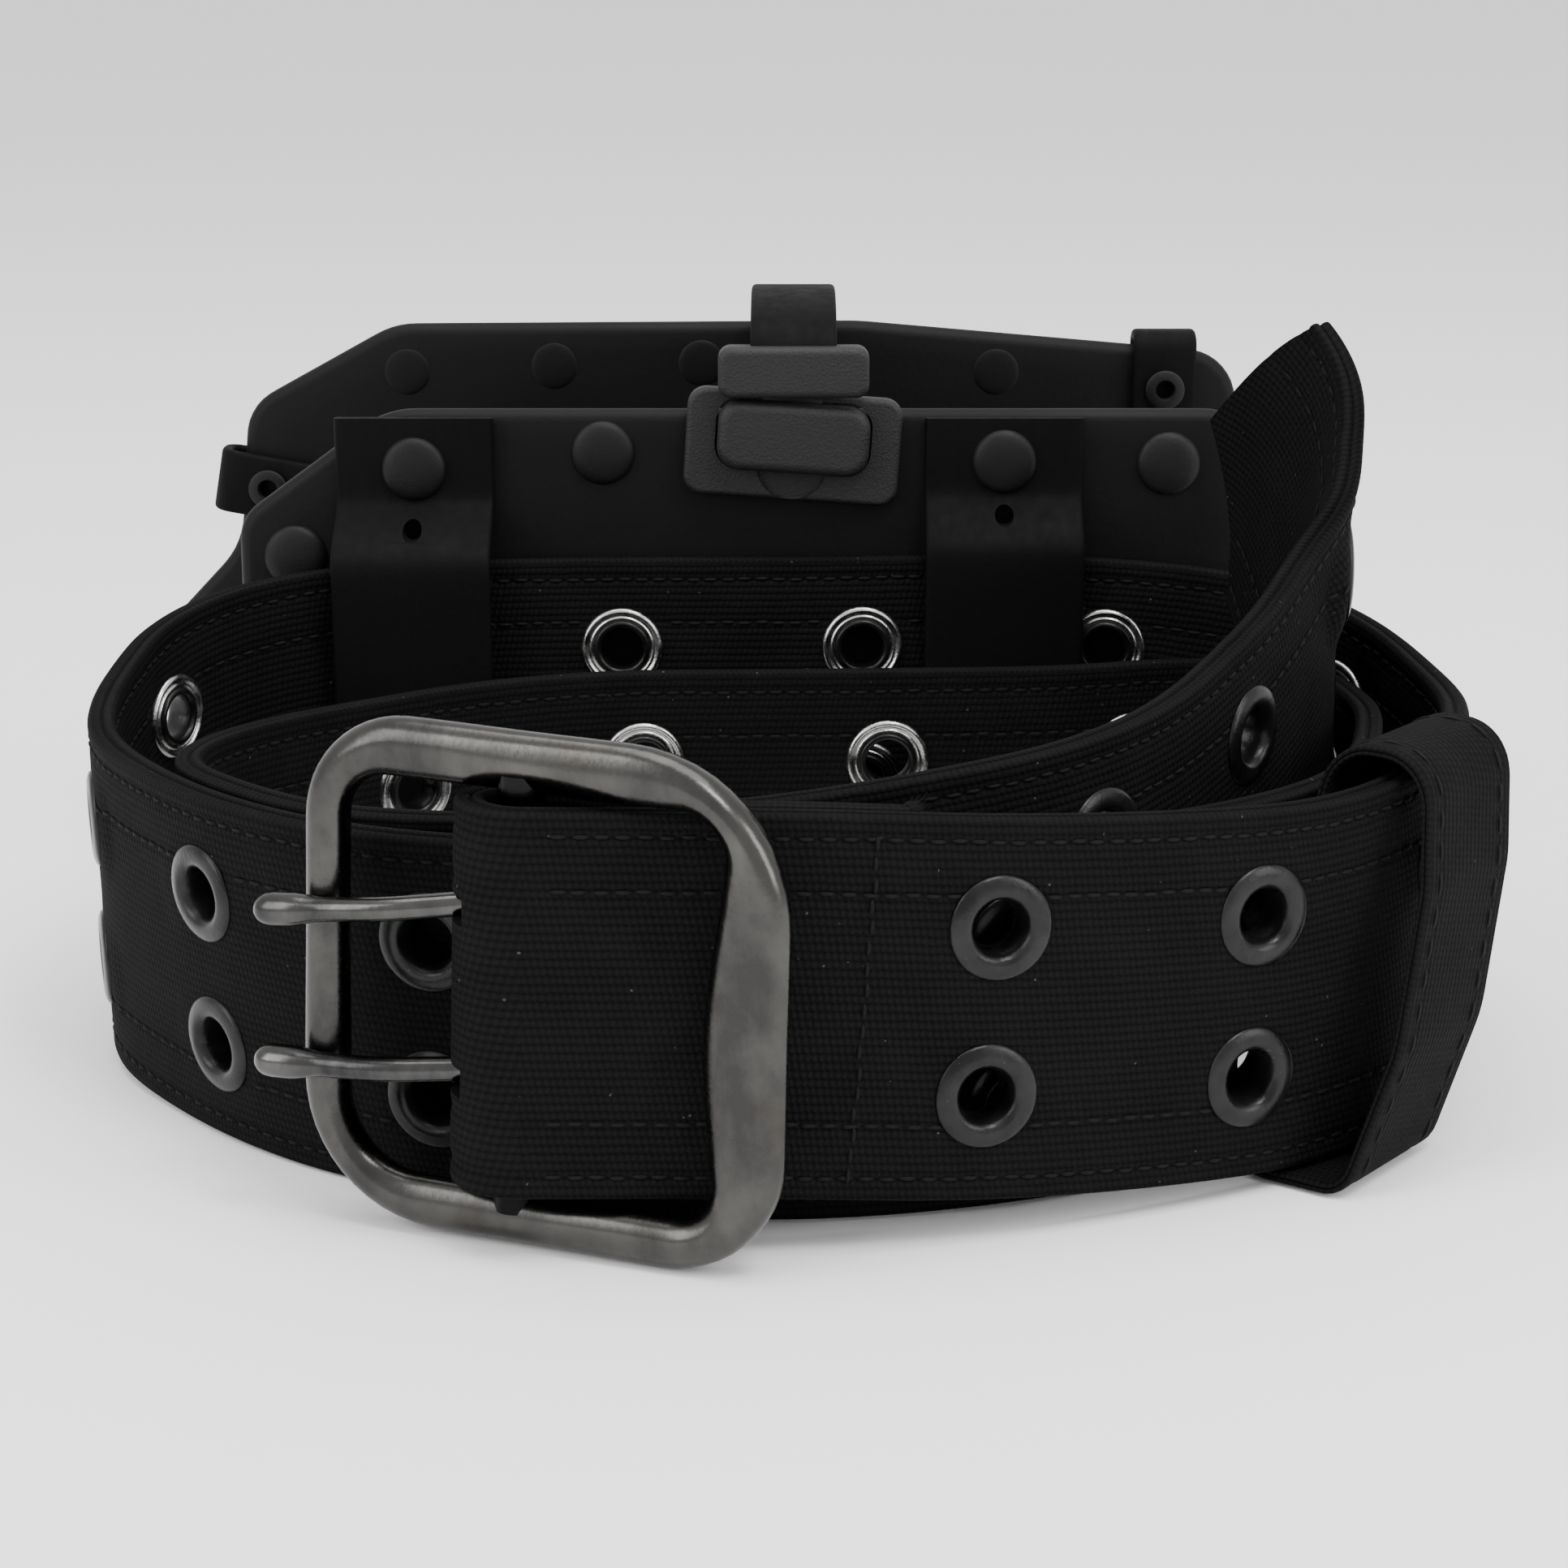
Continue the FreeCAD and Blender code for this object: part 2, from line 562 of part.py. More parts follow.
def brace_loop(x, z, tilt, rise):
    """Short strip folded over the edge of the outer panel, free to swing on a hollow rivet."""
    t = 1.8
    reach = PANEL_THICK / 2 + 0.4 + t / 2
    middle = OUTER_FRONT + PANEL_THICK / 2
    path = [(middle - reach, -6.5), (middle - reach, 0), (middle - reach, rise / 2)]
    for i in range(9):
        angle = math.pi * i / 8
        side = math.copysign(abs(math.cos(angle)) ** 0.75, -math.cos(angle))
        path.append((middle + reach * side, rise + 2.6 * math.sin(angle) ** 0.75))
    path += [(middle + reach, rise / 2), (middle + reach, 0), (middle + reach, -6.5)]
    strip = ribbon(path, 0, 10.6, t)
    strip = strip.cut(Part.makeCylinder(2.44, 40, Vector(0, OUTER_FRONT - 20, 0), Vector(0, 1, 0)))
    strip.rotate(Vector(0, 0, 0), Vector(0, 1, 0), -tilt)
    return strip.translated(Vector(x, 0, z))


def hollow_rivets():
    rivets = []
    for x, z, _, _ in BRACES:
        start = OUTER_FRONT - 3.3
        length = PANEL_THICK + 6.6
        tube = Part.makeCylinder(2.4, length, Vector(x, start, z), Vector(0, 1, 0))
        near = Part.makeCylinder(3.3, 0.7, Vector(x, start, z), Vector(0, 1, 0))
        far = Part.makeCylinder(3.3, 0.7, Vector(x, start + length - 0.7, z), Vector(0, 1, 0))
        bore = Part.makeCylinder(1.5, 20, Vector(x, start - 5, z), Vector(0, 1, 0))
        rivets.append(tube.fuse(near).fuse(far).cut(bore))
    return Part.makeCompound(rivets)


CLIP_Z = 82.5
BUTTON_Z = 83.2
CLIP_TURN = 4.0
PLATE_FRONT = PANEL_FRONT - 2.6


def button_outline(grow):
    return rounded_outline(CLIP_MIDDLE - 12 - grow, CLIP_MIDDLE + 12 + grow,
                           BUTTON_Z - 5.5 - grow, BUTTON_Z + 5.5 + grow, 3.6 + grow)


def button_well():
    """Pocket in the panel behind the button, deep enough for its travel and its spring."""
    return Part.makeCylinder(3.2, 3.0, Vector(CLIP_MIDDLE, PANEL_FRONT - 0.01, BUTTON_Z), Vector(0, 1, 0))


def clip_turned(shape):
    """The clip sits a little askew on the panel."""
    shape.rotate(Vector(CLIP_MIDDLE, 0, BUTTON_Z), Vector(0, 1, 0), CLIP_TURN)
    return shape


def clip_plate():
    outline = rounded_outline(CLIP_MIDDLE - 17, CLIP_MIDDLE + 17, CLIP_Z - 9.5, CLIP_Z + 7.5, 3)
    plate = slab(outline, PLATE_FRONT, 2.6)
    plate = soften(plate, 0.9, (PLATE_FRONT,))
    thumb = Part.makeCylinder(5.6, 0.8, Vector(CLIP_MIDDLE, PLATE_FRONT, BUTTON_Z - 4.5), Vector(0, 1, 0))
    return clip_turned(plate.cut(slab(button_outline(0.35), PLATE_FRONT - 1, 5)).cut(thumb))


def clip_button():
    pad = slab(button_outline(0), PLATE_FRONT - 3.2, 3.4)
    return clip_turned(soften(pad, 1.6, (PLATE_FRONT - 3.2,)))


def button_spring():
    """Small compression spring, drawn as a sleeve of its outer and inner size."""
    start = PLATE_FRONT + 0.2
    length = PANEL_FRONT + 2.99 - start
    sleeve = Part.makeCylinder(2.8, length, Vector(CLIP_MIDDLE, start, BUTTON_Z), Vector(0, 1, 0))
    return sleeve.cut(Part.makeCylinder(2.0, length, Vector(CLIP_MIDDLE, start, BUTTON_Z), Vector(0, 1, 0)))


def clip_bridge():
    """Slider the closure strap runs through, lying over the top edge of the clip plate."""
    x, y, z = CLIP_MIDDLE, PLATE_FRONT - 4.3, 89.8
    block = slab(rounded_outline(x - 11.8, x + 11.8, z, z + 8.0, 2), y, 4.1)
    block = soften(block, 1.2, (y,))
    return block.cut(closure_strap())


CLOSURE_THICK = 1.8
CLOSURE_ROOT_Y = OUTER_FRONT - 1.0


def closure_path():
    """Side view of the closure strap, from the clip up and over to the outer panel's top."""
    low = PLATE_FRONT - 1.8
    return [(low, 90.8), (low, 95.2), (121.2, 98.2), (124.4, 101.0), (130.0, 102.7),
            (138.0, 103.6), (147.0, 103.3), (155.5, 102.0), (162.0, 99.6),
            (165.2, 97.9), (CLOSURE_ROOT_Y, 96.6), (CLOSURE_ROOT_Y, 95.9)]


def closure_root():
    return CLIP_MIDDLE, 83.0


def closure_strap():
    return ribbon(closure_path(), CLIP_MIDDLE, 13.5, CLOSURE_THICK)


def closure_anchor():
    """The strap's riveted end, flat on the outer panel."""
    x, z = closure_root()
    corner = Vector(x - 6.75, CLOSURE_ROOT_Y - CLOSURE_THICK / 2, 77.5)
    strip = Part.makeBox(13.5, CLOSURE_THICK, 18.3, corner)
    return strip.cut(Part.makeCylinder(SHANK_RADIUS, 12, Vector(x, OUTER_FRONT - 6, z), Vector(0, 1, 0)))


def closure_rivet():
    x, z = closure_root()
    return cap_rivet(x, z, OUTER_FRONT - 1.95, OUTER_FRONT + PANEL_THICK)


def all_nodes():
    nodes = strap_pieces()
    nodes["eyelets"] = Part.makeCompound(on_places(eyelet()))
    nodes["eyelet_washers"] = Part.makeCompound(on_places(washer()))
    nodes["buckle_frame"] = buckle_frame()
    nodes["buckle_bar"] = in_buckle(bar_rod())
    nodes["prong_upper"] = prong(1)
    nodes["prong_lower"] = prong(-1)
    nodes["keeper_loop"] = keeper_loop()
    nodes["inner_panel"] = inner_panel()
    nodes["outer_panel"] = outer_panel()
    nodes["pouch_floor"] = pouch_floor()
    for side, *sizes in zip(("left", "right"), LOOP_MIDDLES, LOOP_FRONTS, CAP_HEIGHTS, LOOP_HOLES):
        nodes["keeper_strap_" + side] = keeper_strap(*sizes)
    nodes["panel_caps"] = panel_caps()
    nodes["outer_rivets"] = outer_rivets()
    nodes["brace_loop_right"] = brace_loop(*BRACES[0])
    nodes["brace_loop_left"] = brace_loop(*BRACES[1])
    nodes["hollow_rivets"] = hollow_rivets()
    nodes["clip_plate"] = clip_plate()
    nodes["clip_button"] = clip_button()
    nodes["button_spring"] = button_spring()
    nodes["clip_bridge"] = clip_bridge()
    nodes["closure_strap"] = closure_strap()
    nodes["closure_anchor"] = closure_anchor()
    nodes["closure_rivet"] = closure_rivet()
    return nodes


def centred_move(nodes):
    """Moves the whole belt so the middle of its base is the origin."""
    box = Part.makeCompound(list(nodes.values())).optimalBoundingBox(False, False)
    return Vector(-box.Center.x, -box.Center.y, -box.ZMin)


def main():
    nodes = all_nodes()
    move = centred_move(nodes)
    os.makedirs("parts", exist_ok=True)
    for name, shape in nodes.items():
        shape.translated(move).exportStep("parts/" + name + ".step")


main()
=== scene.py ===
"""Looks of the coiled webbing tool belt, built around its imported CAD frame."""
import math
import random
import bmesh
import bpy
import numpy as np
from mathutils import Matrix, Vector


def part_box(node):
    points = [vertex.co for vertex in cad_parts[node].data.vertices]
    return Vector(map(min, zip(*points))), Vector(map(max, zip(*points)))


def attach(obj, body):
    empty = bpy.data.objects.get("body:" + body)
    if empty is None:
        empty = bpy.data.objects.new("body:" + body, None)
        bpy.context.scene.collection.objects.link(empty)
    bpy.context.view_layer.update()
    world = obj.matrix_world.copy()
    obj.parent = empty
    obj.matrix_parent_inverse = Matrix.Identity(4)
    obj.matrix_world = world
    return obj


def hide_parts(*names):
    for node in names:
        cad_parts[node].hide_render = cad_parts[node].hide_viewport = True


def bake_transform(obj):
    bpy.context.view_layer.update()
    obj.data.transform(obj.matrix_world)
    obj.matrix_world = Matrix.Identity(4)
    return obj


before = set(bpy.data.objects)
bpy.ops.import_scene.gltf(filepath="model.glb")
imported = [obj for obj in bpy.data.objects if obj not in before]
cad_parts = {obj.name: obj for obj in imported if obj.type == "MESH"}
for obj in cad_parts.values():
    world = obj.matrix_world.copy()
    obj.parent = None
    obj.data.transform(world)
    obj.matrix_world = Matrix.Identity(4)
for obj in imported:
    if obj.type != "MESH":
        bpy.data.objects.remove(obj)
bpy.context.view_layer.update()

MM = 0.001
# the belt's own lengths, in mm, the same as the CAD part's
STRAP_WIDTH = 50.0
STRAP_THICK = 4.0
EYELET_PITCH = 38.1
EYELET_FIRST = 59.5
ROW_OFFSET = 11.0
EYE_RADIUS = 4.3
WRAP_RADIUS = EYE_RADIUS + 0.15 + STRAP_THICK / 2
TURN_BACK_LENGTH = 49.0
FOLD_SEAM = 42.6
BUCKLE_YAW = 26.5
KEEPER_PLACE = 124.5
PANEL_FRONT = 124.7
PANEL_THICK = 4.0
OUTER_FRONT = 167.0
OUTER_MIDDLE = -7.5
CLIP_MIDDLE = 1.5

# strap route: x, y, height of the mid-line, outward lean of the top edge
OUTER_TURN = [(-32.7, -11.5, 34, -1), (0, -8.2, 32.8, -1.4), (24.9, -2.7, 30.6, -1.8),
              (48.4, 6.2, 28.6, -0.7), (69, 17.4, 27.2, 0), (80.8, 27.4, 27.6, 0), (87.4, 38.2, 28, 0),
              (92.5, 50, 28, 0),
              (96.4, 63.5, 28, 0), (97.8, 79, 28, 0), (94.6, 94.5, 29.5, 0), (87.4, 107, 33, 0),
              (77, 115.5, 36, 0), (62, 119.6, 38, 0), (40, 121, 39.2, 0), (0, 119.6, 39.2, 0),
              (-40, 119.4, 39, 0), (-69, 118.2, 38, 0), (-85.2, 111, 36, 0), (-94.6, 99.6, 33, 0),
              (-98.2, 84, 30, 0), (-98.4, 70.2, 28, 1), (-96, 58.8, 26.4, 2), (-88.6, 46.4, 25.5, 3),
              (-72.3, 26.8, 25.2, 4), (-54.3, 14.3, 25, 3.5)]
INNER_TURN = [(-25.7, 5.8, 25, 1), (0, 3.4, 25, 0), (24, 7.6, 25, 0), (46.3, 16.8, 25, 0),
              (64.2, 28.3, 25, 0), (74.9, 39.6, 25, 0), (81, 52.4, 25, 0), (84.5, 66.4, 25, 0),
              (86.4, 79.8, 25, 0), (85.6, 90, 25, 0), (83.4, 101, 25, 0), (76.6, 107.8, 25, 0),
              (62.8, 109.8, 25, 0), (43.4, 104.8, 25, 0), (20, 103, 25, 0), (0, 102.2, 25, 0),
              (-28.6, 99.6, 25.2, 0), (-47.2, 93.2, 25, 0), (-61.8, 82.3, 25, 0), (-74.8, 70.6, 25, 0),
              (-82.2, 59.2, 25, 0), (-82.6, 48.4, 25, 2), (-75.3, 39.2, 25, 4)]
TAIL_TURN = [(-58.4, 24.7, 25, 4), (-27.8, 12.4, 27, 1), (0.2, 9.4, 30, 0), (21, 13.4, 32.5, 0),
             (37.6, 22.4, 34, 0), (51.2, 36, 35.9, 0), (61.5, 49.5, 39.7, 0), (72, 64, 46.2, 0),
             (79.3, 78.2, 56, 0), (78.9, 88.6, 68, 0), (75.4, 96.8, 81.4, -2), (71.8, 102, 86, -6),
             (66.4, 107, 88.8, -10)]

low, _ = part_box("inner_panel")
MOVE = np.array([low.x, low.y, low.z]) / MM - np.array([-87.0, PANEL_FRONT, 0.0])


def row(points):
    """Belt coordinates in mm to the frame's metres."""
    return (np.asarray(points, float) + MOVE) * MM


# ---------------------------------------------------------------- strap route

def smooth_curve(stations, steps=12):
    knots = [0.0]
    for a, b in zip(stations, stations[1:]):
        knots.append(knots[-1] + math.sqrt(math.dist(a[:3], b[:3])))
    pts = np.array(stations, float)
    pts = np.vstack([2 * pts[0] - pts[1], pts, 2 * pts[-1] - pts[-2]])
    knots = [2 * knots[0] - knots[1]] + knots + [2 * knots[-1] - knots[-2]]
    out = []
    for i in range(1, len(pts) - 2):
        p, t = pts[i - 1:i + 3], knots[i - 1:i + 3]
        for k in range(steps):
            u = t[1] + (t[2] - t[1]) * k / steps
            a = [p[j] + (p[j + 1] - p[j]) * (u - t[j]) / (t[j + 1] - t[j]) for j in range(3)]
            b = [a[j] + (a[j + 1] - a[j]) * (u - t[j]) / (t[j + 2] - t[j]) for j in range(2)]
            out.append(b[0] + (b[1] - b[0]) * (u - t[1]) / (t[2] - t[1]))
    out.append(pts[-2])
    return np.array(out)


def resample(points, step):
    """Even steps along a line of points, whatever else each point carries."""
    gaps = np.linalg.norm(np.diff(points[:, :3], axis=0), axis=1)
    s = np.concatenate([[0], np.cumsum(gaps)])
    marks = np.linspace(0, s[-1], int(round(s[-1] / step)) + 1)
    return np.stack([np.interp(marks, s, points[:, k]) for k in range(points.shape[1])], 1)


def unit(v):
    return v / np.linalg.norm(v, axis=-1, keepdims=True)


def make_route():
    q = resample(smooth_curve(OUTER_TURN + INNER_TURN + TAIL_TURN), 1.0)
    for _ in range(30):
        q[1:-1] = (q[:-2] + 2 * q[1:-1] + q[2:]) / 4
    p = q[:, :3]
    along = np.gradient(p, axis=0)
    level = along * [1, 1, 0]
    pitch = np.arctan2(along[:, 2], np.linalg.norm(level, axis=1))
    level = unit(level)
    tilt = 0.5 * pitch + 0.5 * np.clip(pitch, -0.14, 0.14)
    out = np.stack([level[:, 1], -level[:, 0], 0 * pitch], 1)
    up = -np.sin(tilt)[:, None] * level + out * (q[:, 3] / STRAP_WIDTH)[:, None]
    up[:, 2] += np.cos(tilt)
    up = unit(up)
    normal = unit(np.cross(unit(along), up))
    if np.sum(normal * out) < 0:
        normal = -normal
    return p, unit(along), normal, up


ROUTE, ALONG, NORMAL, UP = make_route()
ROUTE_END = float(len(ROUTE) - 1)


def at_length(table, s):
    """Value of a route table at the lengths s."""
    s = np.clip(s, 0, ROUTE_END - 1e-6)
    i = s.astype(int)
    share = (s - i)[..., None]
    return table[i] * (1 - share) + table[i + 1] * share


def eyelet_columns():
    return np.arange(EYELET_FIRST, ROUTE_END - 26, EYELET_PITCH)


def smoothstep(x):
    x = np.clip(x, 0, 1)
    return x * x * (3 - 2 * x)


def strap_surface(s, w, n):
    """Points of the strap, pressed flat where an eyelet grips it."""
    p = at_length(ROUTE, s) + at_length(UP, s) * w[..., None] + at_length(NORMAL, s) * n[..., None]
    nearest = EYELET_FIRST + np.round((s - EYELET_FIRST) / EYELET_PITCH) * EYELET_PITCH
    nearest = np.clip(nearest, EYELET_FIRST, eyelet_columns()[-1])
    flat = at_length(ROUTE, nearest) + at_length(UP, nearest) * w[..., None]
    flat = flat + at_length(NORMAL, nearest) * n[..., None]
    flat = flat + at_length(ALONG, nearest) * (s - nearest)[..., None]
    away = np.hypot(s - nearest, np.abs(w) - ROW_OFFSET)
    hold = smoothstep((11.5 - away) / 5)[..., None]
    return p * (1 - hold) + flat * hold


# ---------------------------------------------------------------- mesh helpers

def new_object(name, verts, faces, material, smooth_angle=40, uv=None):
    mesh = bpy.data.meshes.new(name)
    mesh.from_pydata([tuple(v) for v in verts], [], faces)
    if uv is not None:
        layer = mesh.uv_layers.new(name="UVMap")
        index = np.empty(len(mesh.loops), int)
        mesh.loops.foreach_get("vertex_index", index)
        layer.data.foreach_set("uv", np.asarray(uv, float)[index].ravel())
    bm = bmesh.new()
    bm.from_mesh(mesh)
    bmesh.ops.recalc_face_normals(bm, faces=bm.faces)
    bm.to_mesh(mesh)
    bm.free()
    mesh.polygons.foreach_set("use_smooth", [True] * len(mesh.polygons))
    mesh.set_sharp_from_angle(angle=math.radians(smooth_angle))
    obj = bpy.data.objects.new(name, mesh)
    bpy.context.scene.collection.objects.link(obj)
    mesh.materials.append(material)
    return obj


def finish_piece(obj, body, slot, *nodes):
    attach(obj, body)
    if nodes:
        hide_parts(*nodes)
    return obj


def join(parts):
    """Several (verts, faces) lists as one."""
    verts, faces, base = [], [], 0
    for v, f in parts:
        verts.append(np.asarray(v, float))
        faces += [tuple(i + base for i in face) for face in f]
        base += len(v)
    return np.vstack(verts), faces


def tube(rings, closed=False, caps=True):
    """Skin over rings of points, all of one count."""
    rings = np.asarray(rings, float)
    n, m = rings.shape[:2]
    faces = []
    for i in range(n if closed else n - 1):
        a, b = i * m, ((i + 1) % n) * m
        for j in range(m):
            k = (j + 1) % m
            faces.append((a + j, a + k, b + k, b + j))
    if caps and not closed:
        faces.append(tuple(range(m)))
        faces.append(tuple((n - 1) * m + j for j in range(m)))
    return rings.reshape(-1, 3), faces


def lathe(profile, count, centre, x_dir, y_dir, z_dir):
    """Closed radius and height profile turned about z_dir."""
    angles = np.arange(count) * 2 * math.pi / count
    profile = np.asarray(profile, float)
    rings = []
    for angle in angles:
        spoke = x_dir * math.cos(angle) + y_dir * math.sin(angle)
        rings.append(centre + profile[:, :1] * spoke + profile[:, 1:] * z_dir)
    return tube(rings, closed=True)


def corner_outline(corners, steps=8, pitch=1.5):
    """Points round a polygon whose corners are rounded: x, z and radius of each."""
    out = []
    count = len(corners)
    for i in range(count):
        here = np.array(corners[i][:2], float)
        back = unit(np.array(corners[i - 1][:2], float) - here)
        ahead = unit(np.array(corners[(i + 1) % count][:2], float) - here)
        half = math.acos(max(-1, min(1, float(back @ ahead)))) / 2
        r = corners[i][2]
        centre = here + unit(back + ahead) * r / math.sin(half)
        a = here + back * r / math.tan(half) - centre
        b = here + ahead * r / math.tan(half) - centre
        turn = math.atan2(a[0] * b[1] - a[1] * b[0], a @ b)
        for k in range(steps + 1):
            c, d = math.cos(turn * k / steps), math.sin(turn * k / steps)
            out.append(centre + [a[0] * c - a[1] * d, a[0] * d + a[1] * c])
    loop = np.array(out + out[:1])
    return resample(np.column_stack([loop, np.zeros(len(loop))]), pitch)[:-1, :2]


def offset_loop(loop, distance):
    """The loop moved outward, for a loop that runs with its inside on the left."""
    tangent = unit(np.roll(loop, -1, 0) - np.roll(loop, 1, 0))
    return loop + distance * np.stack([tangent[:, 1], -tangent[:, 0]], 1)


def webbing_grid(surface, lengths, across, half, keep=None, end_of=None):
    """A two-faced band of webbing with rolled edges; cells that keep() drops become clean openings."""
    ni, nj = len(lengths), len(across)
    s = np.repeat(np.asarray(lengths, float)[:, None], nj, 1)
    w = np.repeat(np.asarray(across, float)[None, :], ni, 0)
    if end_of is not None:
        s = end_of(s, w)
    dip = 0.28 * np.exp(-((np.abs(w) - 22.0) / 0.7) ** 2) + 0.2 * np.exp(-((np.abs(w) - 15.0) / 0.7) ** 2)
    front = surface(s, w, half - dip)
    back = surface(s, w, dip - half)
    edge = [(0.45, 0.93), (0.74, 0.7), (0.8, 0.42), (0.62, 0.16), (0.3, 0.0),
            (0.62, -0.16), (0.8, -0.42), (0.74, -0.7), (0.45, -0.93)]
    sides = []
    for sign, column in ((1, nj - 1), (-1, 0)):
        se, we = s[:, column], w[:, column]
        sides.append([surface(se, we + sign * e, np.full(ni, half * h)) for e, h in edge])
    blocks = [front.reshape(-1, 3), back.reshape(-1, 3)] + [r for side in sides for r in side]
    verts = np.vstack(blocks)
    uv = [np.stack([s.ravel(), w.ravel()], 1)] * 2
    for sign, column in ((1, nj - 1), (-1, 0)):
        for k in range(len(edge)):
            uv.append(np.stack([s[:, column], w[:, column] + sign * 0.35 * (k + 1)], 1))
    uv = np.vstack(uv)
    back_base = ni * nj
    def fi(i, j):
        return i * nj + j
    faces = []
    cs = (s[:-1, :-1] + s[1:, 1:]) / 2
    cw = (w[:-1, :-1] + w[1:, 1:]) / 2
    kept = np.ones((ni - 1, nj - 1), bool) if keep is None else keep(cs, cw)
    for i in range(ni - 1):
        for j in range(nj - 1):
            a, b, c, d = fi(i, j), fi(i, j + 1), fi(i + 1, j + 1), fi(i + 1, j)
            if kept[i, j]:
                faces.append((a, b, c, d))
                faces.append(tuple(back_base + v for v in (d, c, b, a)))
                continue
            for (p, q), (di, dj) in zip(((a, b), (b, c), (c, d), (d, a)), ((-1, 0), (0, 1), (1, 0), (0, -1))):
                k, l = i + di, j + dj
                if 0 <= k < ni - 1 and 0 <= l < nj - 1 and kept[k, l]:
                    faces.append((p, q, back_base + q, back_base + p))
    base = 2 * back_base
    ends = {0: [], ni - 1: []}
    for column in (nj - 1, 0):
        chain = [[fi(i, column) for i in range(ni)]]
        for _ in edge:
            chain.append([base + i for i in range(ni)])
            base += ni
        chain.append([back_base + fi(i, column) for i in range(ni)])
        for a, b in zip(chain, chain[1:]):
            for i in range(ni - 1):
                faces.append((a[i], a[i + 1], b[i + 1], b[i]))
        for i in ends:
            faces.append(tuple(line[i] for line in chain))
    for i, cell in ((0, 0), (ni - 1, ni - 2)):
        for j in range(nj - 1):
            if kept[cell, j]:
                faces.append((fi(i, j), fi(i, j + 1), back_base + fi(i, j + 1), back_base + fi(i, j)))
    return verts, faces, uv


def across_positions():
    """Lines across the webbing: close together where it is sewn and punched."""
    side = [24.25, 23.6, 22.9, 22.4, 22.0, 21.6, 21.1, 20.2, 19.0, 17.6, 16.3, 15.5, 15.0, 14.5]
    side += list(np.arange(13.8, 5.5, -0.75)) + [4.4, 3.0, 1.5]
    return np.array(sorted(side + [0.0] + [-v for v in side]))


# ---------------------------------------------------------------- materials

class Shader:
    """A material's node tree with short ways to add nodes."""

    def __init__(self, name):
        self.material = bpy.data.materials.new(name)
        self.material.use_nodes = True
        self.tree = self.material.node_tree
        self.bsdf = self.tree.nodes["Principled BSDF"]

    def node(self, kind, **values):
        node = self.tree.nodes.new(kind)
        for key, value in values.items():
            setattr(node, key, value)
        return node

    def link(self, a, b):
        self.tree.links.new(a, b)

    def feed(self, socket, value):
        if isinstance(value, (int, float, tuple)):
            socket.default_value = value
        else:
            self.link(value, socket)

    def math(self, operation, a, b=0.0, c=None):
        node = self.node("ShaderNodeMath", operation=operation)
        self.feed(node.inputs[0], a)
        self.feed(node.inputs[1], b)
        if c is not None:
            self.feed(node.inputs[2], c)
        return node.outputs[0]

    def place(self, source="Object", scale=(1, 1, 1)):
        coords = self.node("ShaderNodeTexCoord")
        mapping = self.node("ShaderNodeMapping")
        self.link(coords.outputs[source], mapping.inputs["Vector"])
        mapping.inputs["Scale"].default_value = scale
        return mapping.outputs[0]

    def noise(self, vector, scale, detail=3.0, rough=0.5):
        node = self.node("ShaderNodeTexNoise")
        self.link(vector, node.inputs["Vector"])
        node.inputs["Scale"].default_value = scale
        node.inputs["Detail"].default_value = detail
        node.inputs["Roughness"].default_value = rough
        return node.outputs[0]

    def cells(self, vector, scale, feature="F1", output="Distance"):
        node = self.node("ShaderNodeTexVoronoi", feature=feature)
        self.link(vector, node.inputs["Vector"])
        node.inputs["Scale"].default_value = scale
        return node.outputs[output]

    def spread(self, value, low, high, to_low=0.0, to_high=1.0):
        node = self.node("ShaderNodeMapRange")
        self.feed(node.inputs["Value"], value)
        for name, number in (("From Min", low), ("From Max", high), ("To Min", to_low), ("To Max", to_high)):
            node.inputs[name].default_value = number
        return node.outputs[0]

    def mix(self, factor, a, b):
        node = self.node("ShaderNodeMix", data_type="RGBA")
        self.feed(node.inputs["Factor"], factor)
        for socket, value in ((node.inputs[6], a), (node.inputs[7], b)):
            if isinstance(value, tuple):
                socket.default_value = (*value, 1.0)
            else:
                self.link(value, socket)
        return node.outputs[2]

    def bump(self, height, distance, strength=1.0):
        node = self.node("ShaderNodeBump")
        self.link(height, node.inputs["Height"])
        node.inputs["Distance"].default_value = distance
        node.inputs["Strength"].default_value = strength
        self.link(node.outputs[0], self.bsdf.inputs["Normal"])

    def set(self, **values):
        for key, value in values.items():
            self.feed(self.bsdf.inputs[key.replace("_", " ")], value if not isinstance(value, tuple)
                      else (*value, 1.0))


